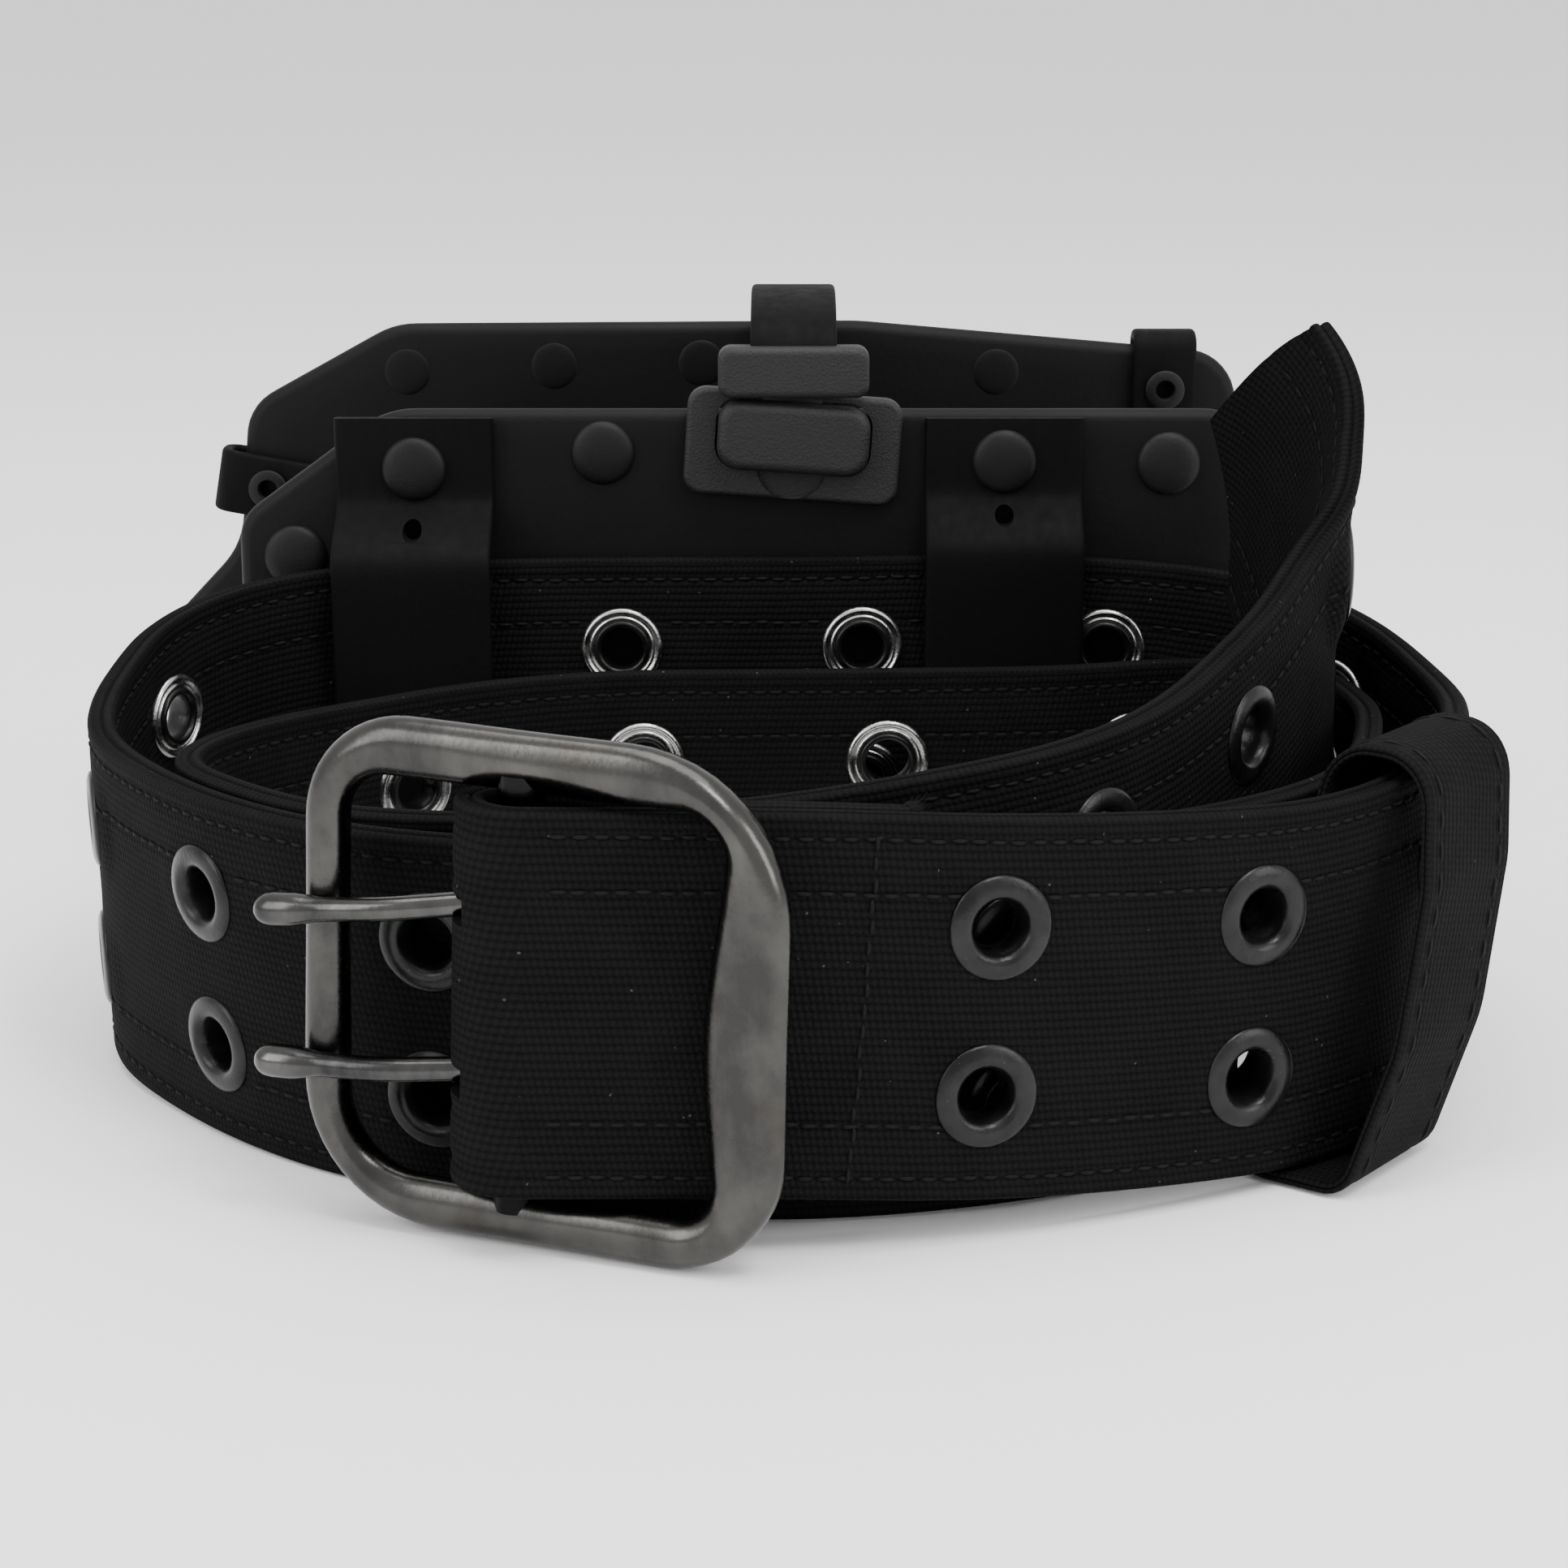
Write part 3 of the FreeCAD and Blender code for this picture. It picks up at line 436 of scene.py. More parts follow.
def webbing_material(name="black_webbing"):
    """Ribbed double-ply webbing: broken ribs along its length, lint and rubbed patches, with painted
    highlight on the raised ribs and fibres. UV is in mm.
    """
    m = Shader(name)
    uv = m.place("UV")
    split = m.node("ShaderNodeSeparateXYZ")
    m.link(uv, split.inputs[0])
    u, v = split.outputs[0], split.outputs[1]
    wander = m.noise(uv, 0.35, 2.0)
    line = m.math("ADD", m.math("MULTIPLY", v, math.pi / 1.1), m.math("MULTIPLY", wander, 0.9))
    rib = m.math("ABSOLUTE", m.math("SINE", line))
    step = m.math("MULTIPLY", m.math("FLOOR", m.math("MULTIPLY", v, 1 / 1.1)), 1.7)
    weft = m.math("SINE", m.math("ADD", m.math("MULTIPLY", u, 2 * math.pi / 0.9), step))
    twill = m.math("SINE", m.math("ADD", m.math("MULTIPLY", u, 6.1), m.math("MULTIPLY", v, 5.2)))
    fuzz = m.noise(uv, 3.2, 4.0, 0.7)
    patch = m.noise(uv, 0.09, 3.0)
    height = m.math("ADD", m.math("MULTIPLY", rib, 0.55), m.math("MULTIPLY", weft, 0.22))
    height = m.math("ADD", height, m.math("MULTIPLY", twill, 0.05))
    height = m.math("ADD", height, m.math("MULTIPLY", fuzz, 0.7))
    m.bump(height, 0.00026)
    lint = m.cells(uv, 0.42)
    chance = m.noise(uv, 0.6, 2.0)
    speck = m.math("MULTIPLY", m.math("LESS_THAN", lint, 0.075), m.math("GREATER_THAN", chance, 0.56))
    # painted highlight: the raised ribs, weft and fibres are coloured lighter as if lit; the patch noise adds
    # rubbed patches
    lit = m.math("ADD", m.math("MULTIPLY", rib, 0.45), m.math("MULTIPLY", weft, 0.12))
    lit = m.math("ADD", lit, m.math("MULTIPLY", fuzz, 0.7))
    rib_highlight_and_wear = m.spread(m.math("ADD", lit, m.math("MULTIPLY", patch, 0.5)), 0.45, 1.25)
    base = m.mix(rib_highlight_and_wear, (0.0007, 0.0007, 0.0008), (0.0066, 0.0066, 0.0068))
    base = m.mix(m.math("MULTIPLY", speck, 0.4), base, (0.1, 0.1, 0.097))
    m.set(Base_Color=base, Roughness=m.spread(fuzz, 0.3, 0.8, 0.72, 0.95), Specular_IOR_Level=0.06)
    return m.material


def thread_material():
    m = Shader("black_thread")
    uv = m.place("Object", (1, 1, 1))
    twist = m.noise(uv, 2600.0, 2.0)
    m.bump(twist, 0.00008)
    m.set(Base_Color=m.mix(twist, (0.0015, 0.0015, 0.0015), (0.0055, 0.0055, 0.0055)), Roughness=0.7,
          Specular_IOR_Level=0.12)
    return m.material


def eyelet_material():
    """Dark satin paint with light scratches."""
    m = Shader("eyelet_dark_paint")
    at = m.place("Object")
    cloud = m.noise(at, 260.0, 4.0)
    scratch = m.noise(m.place("Object", (1, 1, 6)), 900.0, 3.0, 0.65)
    m.bump(m.noise(at, 1800.0, 3.0), 0.00004)
    base = m.mix(m.spread(cloud, 0.35, 0.7), (0.008, 0.008, 0.0083), (0.018, 0.018, 0.0184))
    base = m.mix(m.math("GREATER_THAN", scratch, 0.72), base, (0.09, 0.088, 0.084))
    m.set(Base_Color=base, Metallic=0.7, Roughness=m.spread(cloud, 0.3, 0.7, 0.24, 0.36))
    return m.material


def nickel_material():
    m = Shader("bright_nickel")
    at = m.place("Object")
    cloud = m.noise(at, 420.0, 3.0)
    m.bump(m.noise(at, 2600.0, 2.0), 0.00003)
    m.set(Base_Color=m.mix(cloud, (0.3, 0.3, 0.295), (0.52, 0.515, 0.5)), Metallic=1.0,
          Roughness=m.spread(cloud, 0.3, 0.7, 0.16, 0.34))
    return m.material


def gunmetal_material(name, dark, light, brown):
    """Forged metal with an antique finish: mottled dark and lighter at random, with dark flecks, a little
    brown.
    """
    m = Shader(name)
    at = m.place("Object")
    cloud = m.noise(at, 55.0, 5.0, 0.6)
    streak = m.noise(m.place("Object", (1, 1, 0.35)), 160.0, 4.0, 0.6)
    fine = m.noise(at, 1500.0, 3.0, 0.6)
    stain = m.noise(at, 95.0, 3.0)
    mottle = m.math("ADD", m.math("MULTIPLY", cloud, 0.65), m.math("MULTIPLY", streak, 0.35))
    tone = m.spread(mottle, 0.38, 0.62)
    base = m.mix(tone, dark, light)
    base = m.mix(m.spread(stain, 0.6, 0.78, 0.0, 0.4), base, brown)
    base = m.mix(m.spread(fine, 0.62, 0.8, 0.0, 0.4), base, dark)
    m.bump(m.math("ADD", m.math("MULTIPLY", fine, 0.3), m.math("MULTIPLY", streak, 0.4)), 0.00006)
    m.set(Base_Color=base, Metallic=1.0,
          Roughness=m.spread(m.math("ADD", m.math("MULTIPLY", tone, -0.4), fine), 0.1, 0.7, 0.2, 0.32))
    return m.material


def leather_material():
    """Smooth coated leather with fine pebbled grain and soft scuffs."""
    m = Shader("panel_black_leather")
    at = m.place("Object")
    grain = m.cells(at, 1100.0, "SMOOTH_F1")
    haze = m.noise(at, 26.0, 4.0, 0.6)
    pores = m.noise(at, 2100.0, 2.0)
    m.bump(m.math("ADD", m.math("MULTIPLY", grain, 0.6), m.math("MULTIPLY", pores, 0.25)), 0.00005)
    m.set(Base_Color=m.mix(haze, (0.0012, 0.0012, 0.0012), (0.0032, 0.0032, 0.0031)),
          Roughness=m.spread(haze, 0.3, 0.7, 0.5, 0.62), Specular_IOR_Level=0.14)
    return m.material


def coated_material():
    """Black coated strap: dull, with a faint cloth print and streaky roughness."""
    m = Shader("coated_strap")
    at = m.place("Object")
    print_noise = m.noise(m.place("Object", (1, 1, 1)), 1500.0, 3.0, 0.6)
    haze = m.noise(at, 40.0, 4.0)
    streak = m.noise(m.place("Object", (6, 6, 0.6)), 90.0, 3.0)
    m.bump(m.math("ADD", print_noise, m.math("MULTIPLY", streak, 0.4)), 0.00006)
    m.set(Base_Color=m.mix(haze, (0.0012, 0.0012, 0.0012), (0.003, 0.003, 0.003)),
          Roughness=m.spread(streak, 0.3, 0.7, 0.62, 0.76), Specular_IOR_Level=0.08)
    return m.material


def plastic_material():
    """Moulded plastic with a fine spark-eroded texture."""
    m = Shader("textured_plastic")
    at = m.place("Object")
    spark = m.noise(at, 3400.0, 2.0, 0.7)
    pits = m.cells(at, 2300.0)
    haze = m.noise(at, 60.0, 3.0)
    m.bump(m.math("ADD", spark, m.math("MULTIPLY", pits, 0.8)), 0.00008)
    m.set(Base_Color=m.mix(haze, (0.008, 0.008, 0.008), (0.013, 0.013, 0.013)),
          Roughness=m.spread(spark, 0.3, 0.7, 0.5, 0.66), Specular_IOR_Level=0.3)
    return m.material


def cap_material():
    m = Shader("cap_black_paint")
    at = m.place("Object")
    haze = m.noise(at, 90.0, 4.0)
    m.bump(m.noise(at, 1900.0, 3.0), 0.00005)
    m.set(Base_Color=m.mix(haze, (0.003, 0.003, 0.003), (0.006, 0.006, 0.006)), Roughness=0.5,
          Specular_IOR_Level=0.18)
    return m.material


WEBBING = webbing_material()
THREAD = thread_material()
EYELET = eyelet_material()
NICKEL = nickel_material()
GUNMETAL = gunmetal_material("forged_gunmetal", dark=(0.038, 0.037, 0.036), light=(0.082, 0.08, 0.075),
                             brown=(0.055, 0.044, 0.034))
# painted shade: the bar gets a near-black copy of the forged gunmetal for the shade it sits in inside the
# fold
PAINTED_SHADE_BAR_METAL = gunmetal_material("painted_shade_bar_metal", dark=(0.004, 0.004, 0.004), light=(0.012, 0.012, 0.012),
                              brown=(0.008, 0.007, 0.006))
PRONG_METAL = gunmetal_material("dark_prong_metal", dark=(0.02, 0.02, 0.021), light=(0.09, 0.088, 0.085),
                                brown=(0.05, 0.042, 0.036))
LEATHER = leather_material()
COATED = coated_material()
PLASTIC = plastic_material()
CAP = cap_material()


# ---------------------------------------------------------------- strap

# half the width of a prong's slot, and how fast the strap's end narrows to its point
SLOT_HALF = 1.75
POINT_SLOPE = 0.556


def strap_keep(s, w):
    nearest = EYELET_FIRST + np.round((s - EYELET_FIRST) / EYELET_PITCH) * EYELET_PITCH
    nearest = np.clip(nearest, EYELET_FIRST, eyelet_columns()[-1])
    hole = np.hypot(s - nearest, np.abs(w) - ROW_OFFSET) < 4.9
    return ~hole


def pointed_end(s, w):
    """Last stretch of the strap, shortened toward its edges to a point."""
    start = ROUTE_END - 34
    end = ROUTE_END - POINT_SLOPE * np.abs(w)
    return np.where(s > start, start + (s - start) / 34 * (end - start), s)


def build_strap():
    lengths = np.linspace(0, ROUTE_END, int(ROUTE_END) + 1)
    verts, faces, uv = webbing_grid(strap_surface, lengths, across_positions(), STRAP_THICK / 2,
                                    strap_keep, pointed_end)
    obj = new_object("strap", row(verts), faces, WEBBING, 60, uv)
    folded = ("strap_wrap", "strap_turn_back")
    nodes = [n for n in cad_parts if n.startswith("strap_") and n not in folded]
    return finish_piece(obj, "belt", "webbing", *nodes)


def fold_line():
    """Centres, normals and widths of the turn round the bar and the folded end behind the front run."""
    p, along, normal, up = ROUTE[0], ALONG[0], NORMAL[0], UP[0]
    centre = p - normal * WRAP_RADIUS
    rows = []
    for i in range(19):
        angle = math.pi * i / 18
        out = normal * math.cos(angle) - along * math.sin(angle)
        rows.append((centre + out * WRAP_RADIUS, out, up))
    behind = STRAP_THICK + 0.1
    for s in np.arange(1.0, TURN_BACK_LENGTH - 0.5, 1.0):
        s = np.array(s)
        ease = max(0.0, 1 - s / 24) ** 2 * (1 + 2 * s / 24)
        gap = behind + (2 * WRAP_RADIUS - behind) * ease
        n = at_length(NORMAL, s)
        rows.append((at_length(ROUTE, s) - n * gap, -n, at_length(UP, s)))
    return [np.array(part) for part in zip(*rows)]


def build_fold():
    centres, normals, widths = fold_line()
    gaps = np.concatenate([[0], np.cumsum(np.linalg.norm(np.diff(centres, axis=0), axis=1))])
    rng = np.random.default_rng(5)
    ragged = rng.normal(0, 0.35, 400)
    slot_end = math.radians(90 + BUCKLE_YAW + 11)
    slot_start = math.radians(90 + BUCKLE_YAW - 55)

    def surface(s, w, n):
        out = []
        for table in (centres, widths, normals):
            out.append(np.stack([np.interp(s, gaps, table[:, k]) for k in range(3)], -1))
        return out[0] + out[1] * w[..., None] + out[2] * n[..., None]

    def keep(s, w):
        angle = s / WRAP_RADIUS
        return ~((angle > slot_start) & (angle < slot_end) & (np.abs(np.abs(w) - ROW_OFFSET) < SLOT_HALF))

    def frayed(s, w):
        last = gaps[-1]
        return np.where(s > last - 0.01, s + ragged[(np.abs(w * 7)).astype(int)] - 0.3, s)

    verts, faces, uv = webbing_grid(surface, gaps, across_positions(), STRAP_THICK / 2, keep, frayed)
    obj = new_object("strap_fold", row(verts), faces, WEBBING, 60, uv + np.array([2000.0, 0.0]))
    return finish_piece(obj, "belt", "webbing", "strap_wrap", "strap_turn_back")


def stitch(centre, along, up, normal, length, radius):
    """One thread between two needle holes: a low arch, tucked in at both ends."""
    rings = []
    for t in np.linspace(-1, 1, 5):
        lift = 0.16 * (1 - t * t) - 0.1
        r = radius * math.sqrt(max(0.05, 1 - 0.75 * t ** 4))
        middle = centre + along * (t * length / 2) + normal * lift
        rings.append([middle + r * (math.cos(a) * up + 0.75 * math.sin(a) * normal)
                      for a in np.arange(6) * math.pi / 3])
    return tube(rings)


def build_stitching():
    """Four rows of lock stitch along both faces, and the seam across the folded end."""
    rng = random.Random(11)
    parts = []
    pitch = 2.7
    columns = eyelet_columns()
    for side in (1, -1):
        for w in (22.0, 15.0, -15.0, -22.0):
            count = int((ROUTE_END - POINT_SLOPE * abs(w) - 4) / pitch)
            for k in range(count):
                s = 3.0 + (k + 0.5) * pitch + rng.uniform(-0.15, 0.15)
                near = np.min(np.abs(columns - s))
                if abs(w) < 16 and near < 6.4:
                    continue
                dip = 0.28 if abs(w) > 20 else 0.2
                here = np.array([s])
                wv = np.array([w + rng.uniform(-0.12, 0.12)])
                p = strap_surface(here, wv, np.array([side * (STRAP_THICK / 2 - dip + 0.1)]))[0]
                q = strap_surface(here + 1, wv, np.array([side * (STRAP_THICK / 2 - dip + 0.1)]))[0]
                n = at_length(NORMAL, here)[0] * side
                up = at_length(UP, here)[0]
                parts.append(stitch(p, unit(q - p), up, n, pitch * 0.76, 0.3))
    for k in range(17):
        w = -21.6 + k * pitch
        here = np.array([FOLD_SEAM + rng.uniform(-0.2, 0.2)])
        p = strap_surface(here, np.array([w]), np.array([STRAP_THICK / 2 + 0.02]))[0]
        n, up, along = (at_length(t, here)[0] for t in (NORMAL, UP, ALONG))
        parts.append(stitch(p, up, along, n, 1.9, 0.32))
    verts, faces = join(parts)
    obj = new_object("strap_stitching", row(verts), faces, THREAD, 80)
    return finish_piece(obj, "belt", "webbing")


def build_frayed_fibres():
    """Loose fibres at the cut end of the folded webbing."""
    rng = random.Random(4)
    centres, normals, widths = fold_line()
    p, n, up = centres[-1], normals[-1], widths[-1]
    along = unit(centres[-1] - centres[-3])
    parts = []
    for _ in range(150):
        w = rng.uniform(-25, 25) if rng.random() < 0.55 else rng.uniform(23.4, 25.4)
        start = p + up * w + n * rng.uniform(-1.7, 1.7) - along * 0.4
        length = rng.uniform(0.7, 2.6)
        lean = up * rng.uniform(-0.5, 1.0 if w > 23 else 0.5) + n * rng.uniform(-0.3, 0.3)
        rings = []
        for t in np.linspace(0, 1, 5):
            middle = start + along * length * t + lean * length * t * t
            r = 0.075 * (1 - 0.6 * t)
            rings.append([middle + r * (math.cos(a) * up + math.sin(a) * n) for a in (0, 2.1, 4.2)])
        parts.append(tube(rings))
    verts, faces = join(parts)
    obj = new_object("frayed_fibres", row(verts), faces, THREAD, 80)
    return finish_piece(obj, "belt", "webbing")


EYELET_PROFILE = [(3.3, -2.2), (3.42, -2.6), (3.75, -2.86), (4.15, -2.84), (4.42, -2.62), (4.45, -2.32),
                  (3.92, -2.1), (3.92, 1.7), (6.8, 1.72), (6.92, 1.95), (6.86, 2.2), (6.6, 2.42), (6.2, 2.6),
                  (5.7, 2.74), (5.2, 2.82), (4.75, 2.82), (4.35, 2.7), (4.0, 2.46), (3.72, 2.05),
                  (3.5, 1.4), (3.36, 0.4), (3.3, -0.8)]
WASHER_PROFILE = [(3.95, -1.72), (3.95, -2.24), (4.5, -2.28), (4.72, -2.36), (4.9, -2.46), (5.08, -2.38),
                  (5.2, -2.24), (5.36, -2.26), (5.55, -2.44), (5.78, -2.6), (6.05, -2.56), (6.3, -2.36),
                  (6.48, -2.08), (6.5, -1.75)]


def build_eyelets():
    for name, profile, material, slot, node in (
            ("eyelet_rings", EYELET_PROFILE, EYELET, "eyelet_paint", "eyelets"),
            ("washer_rings", WASHER_PROFILE, NICKEL, "nickel", "eyelet_washers")):
        parts = []
        for s in eyelet_columns():
            here = np.array([s])
            p, along, n, up = (at_length(t, here)[0] for t in (ROUTE, ALONG, NORMAL, UP))
            for side in (1, -1):
                parts.append(lathe(profile, 40, p + up * side * ROW_OFFSET, along, up, n))
        verts, faces = join(parts)
        finish_piece(new_object(name, row(verts), faces, material, 50), "belt", slot, node)


# ---------------------------------------------------------------- buckle

def buckle_axes():
    p, along, normal, up = ROUTE[0], ALONG[0], NORMAL[0], UP[0]
    yaw = math.radians(-BUCKLE_YAW)
    right = along * math.cos(yaw) + np.cross(up, along) * math.sin(yaw)
    right = unit(right - up * np.dot(right, up))
    out = np.cross(right, up)
    if np.dot(out, normal) < 0:
        out = -out
    return p - normal * WRAP_RADIUS, right, out, up


def in_buckle(points):
    """Right, outward and up distances from the bar to belt coordinates."""
    centre, right, out, up = buckle_axes()
    points = np.asarray(points, float)
    return centre + points[..., :1] * right + points[..., 1:2] * out + points[..., 2:] * up


BUCKLE_OUTSIDE = [(-30, -33.5, 19), (36.5, -33.5, 16), (36.5, 33.5, 22), (-30, 33.5, 14)]
BUCKLE_WINDOW = [(-24, -26.5, 10), (27.5, -26.5, 5.5), (27.5, 25.7, 5.5), (-24, 25.7, 6)]


def even_corners(corners, arc=12, side=14):
    """Points round a rectangle with its own radius at each corner, the same number for any radii."""
    pts = []
    turns = []
    for k, (x, z, r) in enumerate(corners):
        cx = x + r if k in (0, 3) else x - r
        cz = z + r if k in (0, 1) else z - r
        turns.append([(cx + r * math.cos(a), cz + r * math.sin(a))
                      for a in np.radians(180 + 90 * k + 90 * np.arange(arc + 1) / arc)])
    for k, turn in enumerate(turns):
        pts += turn
        last, target = np.array(turn[-1]), np.array(turns[(k + 1) % 4][0])
        pts += [tuple(last + (target - last) * i / side) for i in range(1, side)]
    return np.array(pts)


def build_buckle_frame():
    """Forged ring: an uneven rounded section between the outer and the inner outline."""
    outer, inner = even_corners(BUCKLE_OUTSIDE), even_corners(BUCKLE_WINDOW)
    swell = np.cos(np.clip((inner[:, 1] + 3) / 26, -1, 1) * math.pi / 2) ** 2
    inner[:, 0] -= 2.4 * swell * smoothstep((inner[:, 0] - 12) / 14)
    rings = []
    for k, (o, i) in enumerate(zip(outer, inner)):
        t = k / len(outer) * 2 * math.pi
        middle, half = (o + i) / 2, (o - i) / 2
        wide = 0.97 + 0.02 * math.sin(3 * t + 0.6) + 0.01 * math.sin(8 * t + 2.0)
        deep = 3.0 * (0.97 + 0.03 * math.sin(4 * t + 1.1))
        shift = 0.35 * math.sin(5 * t + 0.4)
        ring = []
        for a in np.arange(32) * 2 * math.pi / 32:
            c, s = math.cos(a), math.sin(a)
            x = math.copysign(abs(c) ** 0.88, c) * wide
            y = math.copysign(abs(s) ** 0.92, s) * deep * (1 - 0.08 * abs(c + shift))
            flat = middle + half * x
            ring.append((flat[0], y, flat[1]))
        rings.append(ring)
    verts, faces = tube(rings, closed=True)
    obj = new_object("buckle_ring", row(in_buckle(verts)), faces, GUNMETAL, 80)
    return finish_piece(obj, "buckle", "buckle_metal", "buckle_frame")


def swept(path, radii, count):
    """Round rod along a path that lies in the buckle's level plane."""
    path = np.asarray(path, float)
    along = unit(np.gradient(path, axis=0))
    rings = []
    up = np.array([0, 0, 1.0])
    for p, t, r in zip(path, along, radii):
        side = unit(np.cross(up, t))
        rings.append([p + r * (math.cos(a) * side + math.sin(a) * up)
                      for a in np.arange(count) * 2 * math.pi / count])
    return tube(rings)


def build_bar_and_prongs():
    rings = []
    for z in np.linspace(-29, 28, 30):
        r = 3.0 - 0.03 * math.sin(z * 0.9)
        rings.append([(r * math.cos(a), r * math.sin(a), z) for a in np.arange(28) * 2 * math.pi / 28])
    verts, faces = tube(rings)
    rod = new_object("buckle_rod", row(in_buckle(verts)), faces, PAINTED_SHADE_BAR_METAL, 50)
    finish_piece(rod, "buckle", "buckle_metal", "buckle_bar")
    for body, side, drop, droop in (("upper_prong", 1, 3.6, 1.6), ("lower_prong", -1, 1.7, 0.7)):
        u = np.concatenate([np.arange(3.4, 32.6, 0.8), [33.2, 33.9, 34.5, 34.9]])
        out = np.interp(u, [3.2, 17, 26, 35], [0.5, 4.7, 4.75, 4.85])
        out = np.convolve(np.pad(out, 4, "edge"), np.ones(9) / 9, "valid")
        down = np.interp(u, [3.2, 17, 33], [-0.3, droop, drop])
        down = np.convolve(np.pad(down, 4, "edge"), np.ones(9) / 9, "valid")
        path = np.stack([-u, out, -down], 1) + [0, 0, side * ROW_OFFSET]
        radii = 1.6 + 0.6 * smoothstep((u - 25) / 5)
        cap = u > 32.4
        radii[cap] *= np.sqrt(np.clip(1 - ((u[cap] - 32.4) / 2.55) ** 2, 0.02, 1))
        eye = [(3.07, -1.6), (EYE_RADIUS - 0.3, -1.6), (EYE_RADIUS, -1.2), (EYE_RADIUS, 1.2),
               (EYE_RADIUS - 0.3, 1.6), (3.07, 1.6)]
        ring = lathe(eye, 40, np.array([0, 0, side * ROW_OFFSET]), np.array([1.0, 0, 0]),
                     np.array([0, 1.0, 0]), np.array([0, 0, 1.0]))
        verts, faces = join([swept(path, radii, 20), ring])
        finish_piece(new_object(body + "_rod", row(in_buckle(verts)), faces, PRONG_METAL, 60), body,
                     "buckle_metal", "prong_upper" if side > 0 else "prong_lower")


# ---------------------------------------------------------------- keeper loop

KEEPER_HOLLOW = [(-7.9, -25.9, 1.8), (5.2, -25.9, 2.8), (8.8, -8, 18), (8.2, 12, 16), (5.0, 27.6, 7),
                 (-7.9, 27.6, 5)]


def build_keeper():
    """Webbing loop round the front run, its top leaning along the strap."""
    here = np.array([KEEPER_PLACE])
    p, along = at_length(ROUTE, here)[0], at_length(ALONG, here)[0]
    along = unit(along * [1, 1, 0])
    out = np.array([along[1], -along[0], 0])
    t = 1.5
    middle = offset_loop(corner_outline(KEEPER_HOLLOW, 8, 0.8), t / 2)
    n = len(middle)
    tangent = unit(np.roll(middle, -1, 0) - np.roll(middle, 1, 0))
    outward = np.stack([tangent[:, 1], -tangent[:, 0]], 1)
    lean = math.tan(math.radians(19))
    section = []
    for w in np.linspace(-11.3, 11.3, 24):
        section.append((w, t / 2 - 0.12 * math.exp(-((abs(w) - 8.6) / 0.5) ** 2)))
    edge = [(11.75, 0.62), (12.0, 0.36), (11.9, 0.1), (11.7, 0.0), (11.9, -0.1), (12.0, -0.36),
            (11.75, -0.62)]
    section += edge + [(w, -h) for w, h in reversed(section)] + [(-w, -h) for w, h in edge]
    rings, uv = [], []
    for i in range(n):
        ring = []
        for w, h in section:
            q = middle[i] + outward[i] * h
            ring.append(p + out * q[0] + np.array([0, 0, 1.0]) * q[1] + along * (w + lean * q[1]))
            uv.append((i * 0.8 + 3000, w + (0 if h > 0 else 40)))
        rings.append(ring)
    verts, faces = tube(rings, closed=True)
    obj = new_object("keeper_band", row(verts), faces, WEBBING, 70, uv)
    finish_piece(obj, "keeper", "webbing", "keeper_loop")
    parts = []
    for w in (8.6, -8.6):
        for i in range(0, n, 5):
            q = middle[i] + outward[i] * (t / 2 - 0.04)
            centre = p + out * q[0] + np.array([0, 0, 1.0]) * q[1] + along * (w + lean * q[1])
            direction = unit(out * tangent[i][0] + np.array([0, 0, 1.0]) * tangent[i][1]
                             + along * lean * tangent[i][1])
            normal = out * outward[i][0] + np.array([0, 0, 1.0]) * outward[i][1]
            parts.append(stitch(centre, direction, np.cross(normal, direction), normal, 2.9, 0.3))
    verts, faces = join(parts)
    finish_piece(new_object("keeper_stitching", row(verts), faces, THREAD, 80), "keeper", "webbing")


# ---------------------------------------------------------------- pouch

def plate(name, outline, front, thick, rim, material):
    """Flat sheet with a rolled rim. Its faces are filled with a grid of rings shrinking to the middle."""
    outline = np.asarray(outline)
    tangent = unit(np.roll(outline, -1, 0) - np.roll(outline, 1, 0))
    inward = np.stack([-tangent[:, 1], tangent[:, 0]], 1)
    area = np.sum(outline[:, 0] * np.roll(outline[:, 1], -1) - np.roll(outline[:, 0], -1) * outline[:, 1])
    if area < 0:
        inward = -inward
    middle = outline.mean(0)
    half = thick / 2
    layers = []
    for a in np.linspace(-90, 90, 9):
        a = math.radians(a)
        layers.append((rim * (1 - math.cos(a)), half * math.sin(a)))
    rings = []
    for depth, y in layers:
        ring = outline + inward * depth
        rings.append(np.column_stack([ring[:, 0], np.full(len(ring), front + half + y), ring[:, 1]]))

    def face_rings(start, y):
        out = []
        for share in (0.93, 0.84, 0.7, 0.52, 0.34, 0.16):
            flat = middle + (start - middle) * share
            out.append(np.column_stack([flat[:, 0], np.full(len(flat), y), flat[:, 1]]))
        return out
    inner = outline + inward * layers[0][0]
    all_rings = face_rings(inner, front)[::-1] + rings + face_rings(inner, front + thick)
    verts, faces = tube(all_rings)
    return new_object(name, row(verts), faces, material, 50)


def drill(obj, spot, radius, reach, count=32):
    """A clean round hole through a piece, along y."""
    x, y, z = spot
    circle = [(x + radius * math.cos(a), z + radius * math.sin(a))
              for a in np.arange(count) * 2 * math.pi / count]
    verts, faces = tube([[(cx, y + d, cz) for cx, cz in circle] for d in (-reach / 2, reach / 2)])
    cutter = new_object("cutter", row(verts), faces, LEATHER)
    modifier = obj.modifiers.new("holes", "BOOLEAN")
    modifier.object = cutter
    modifier.solver = "EXACT"
    bpy.context.view_layer.update()
    graph = bpy.context.evaluated_depsgraph_get()
    mesh = bpy.data.meshes.new_from_object(obj.evaluated_get(graph))
    obj.modifiers.clear()
    obj.data = mesh
    mesh.set_sharp_from_angle(angle=math.radians(40))
    bpy.data.objects.remove(cutter)


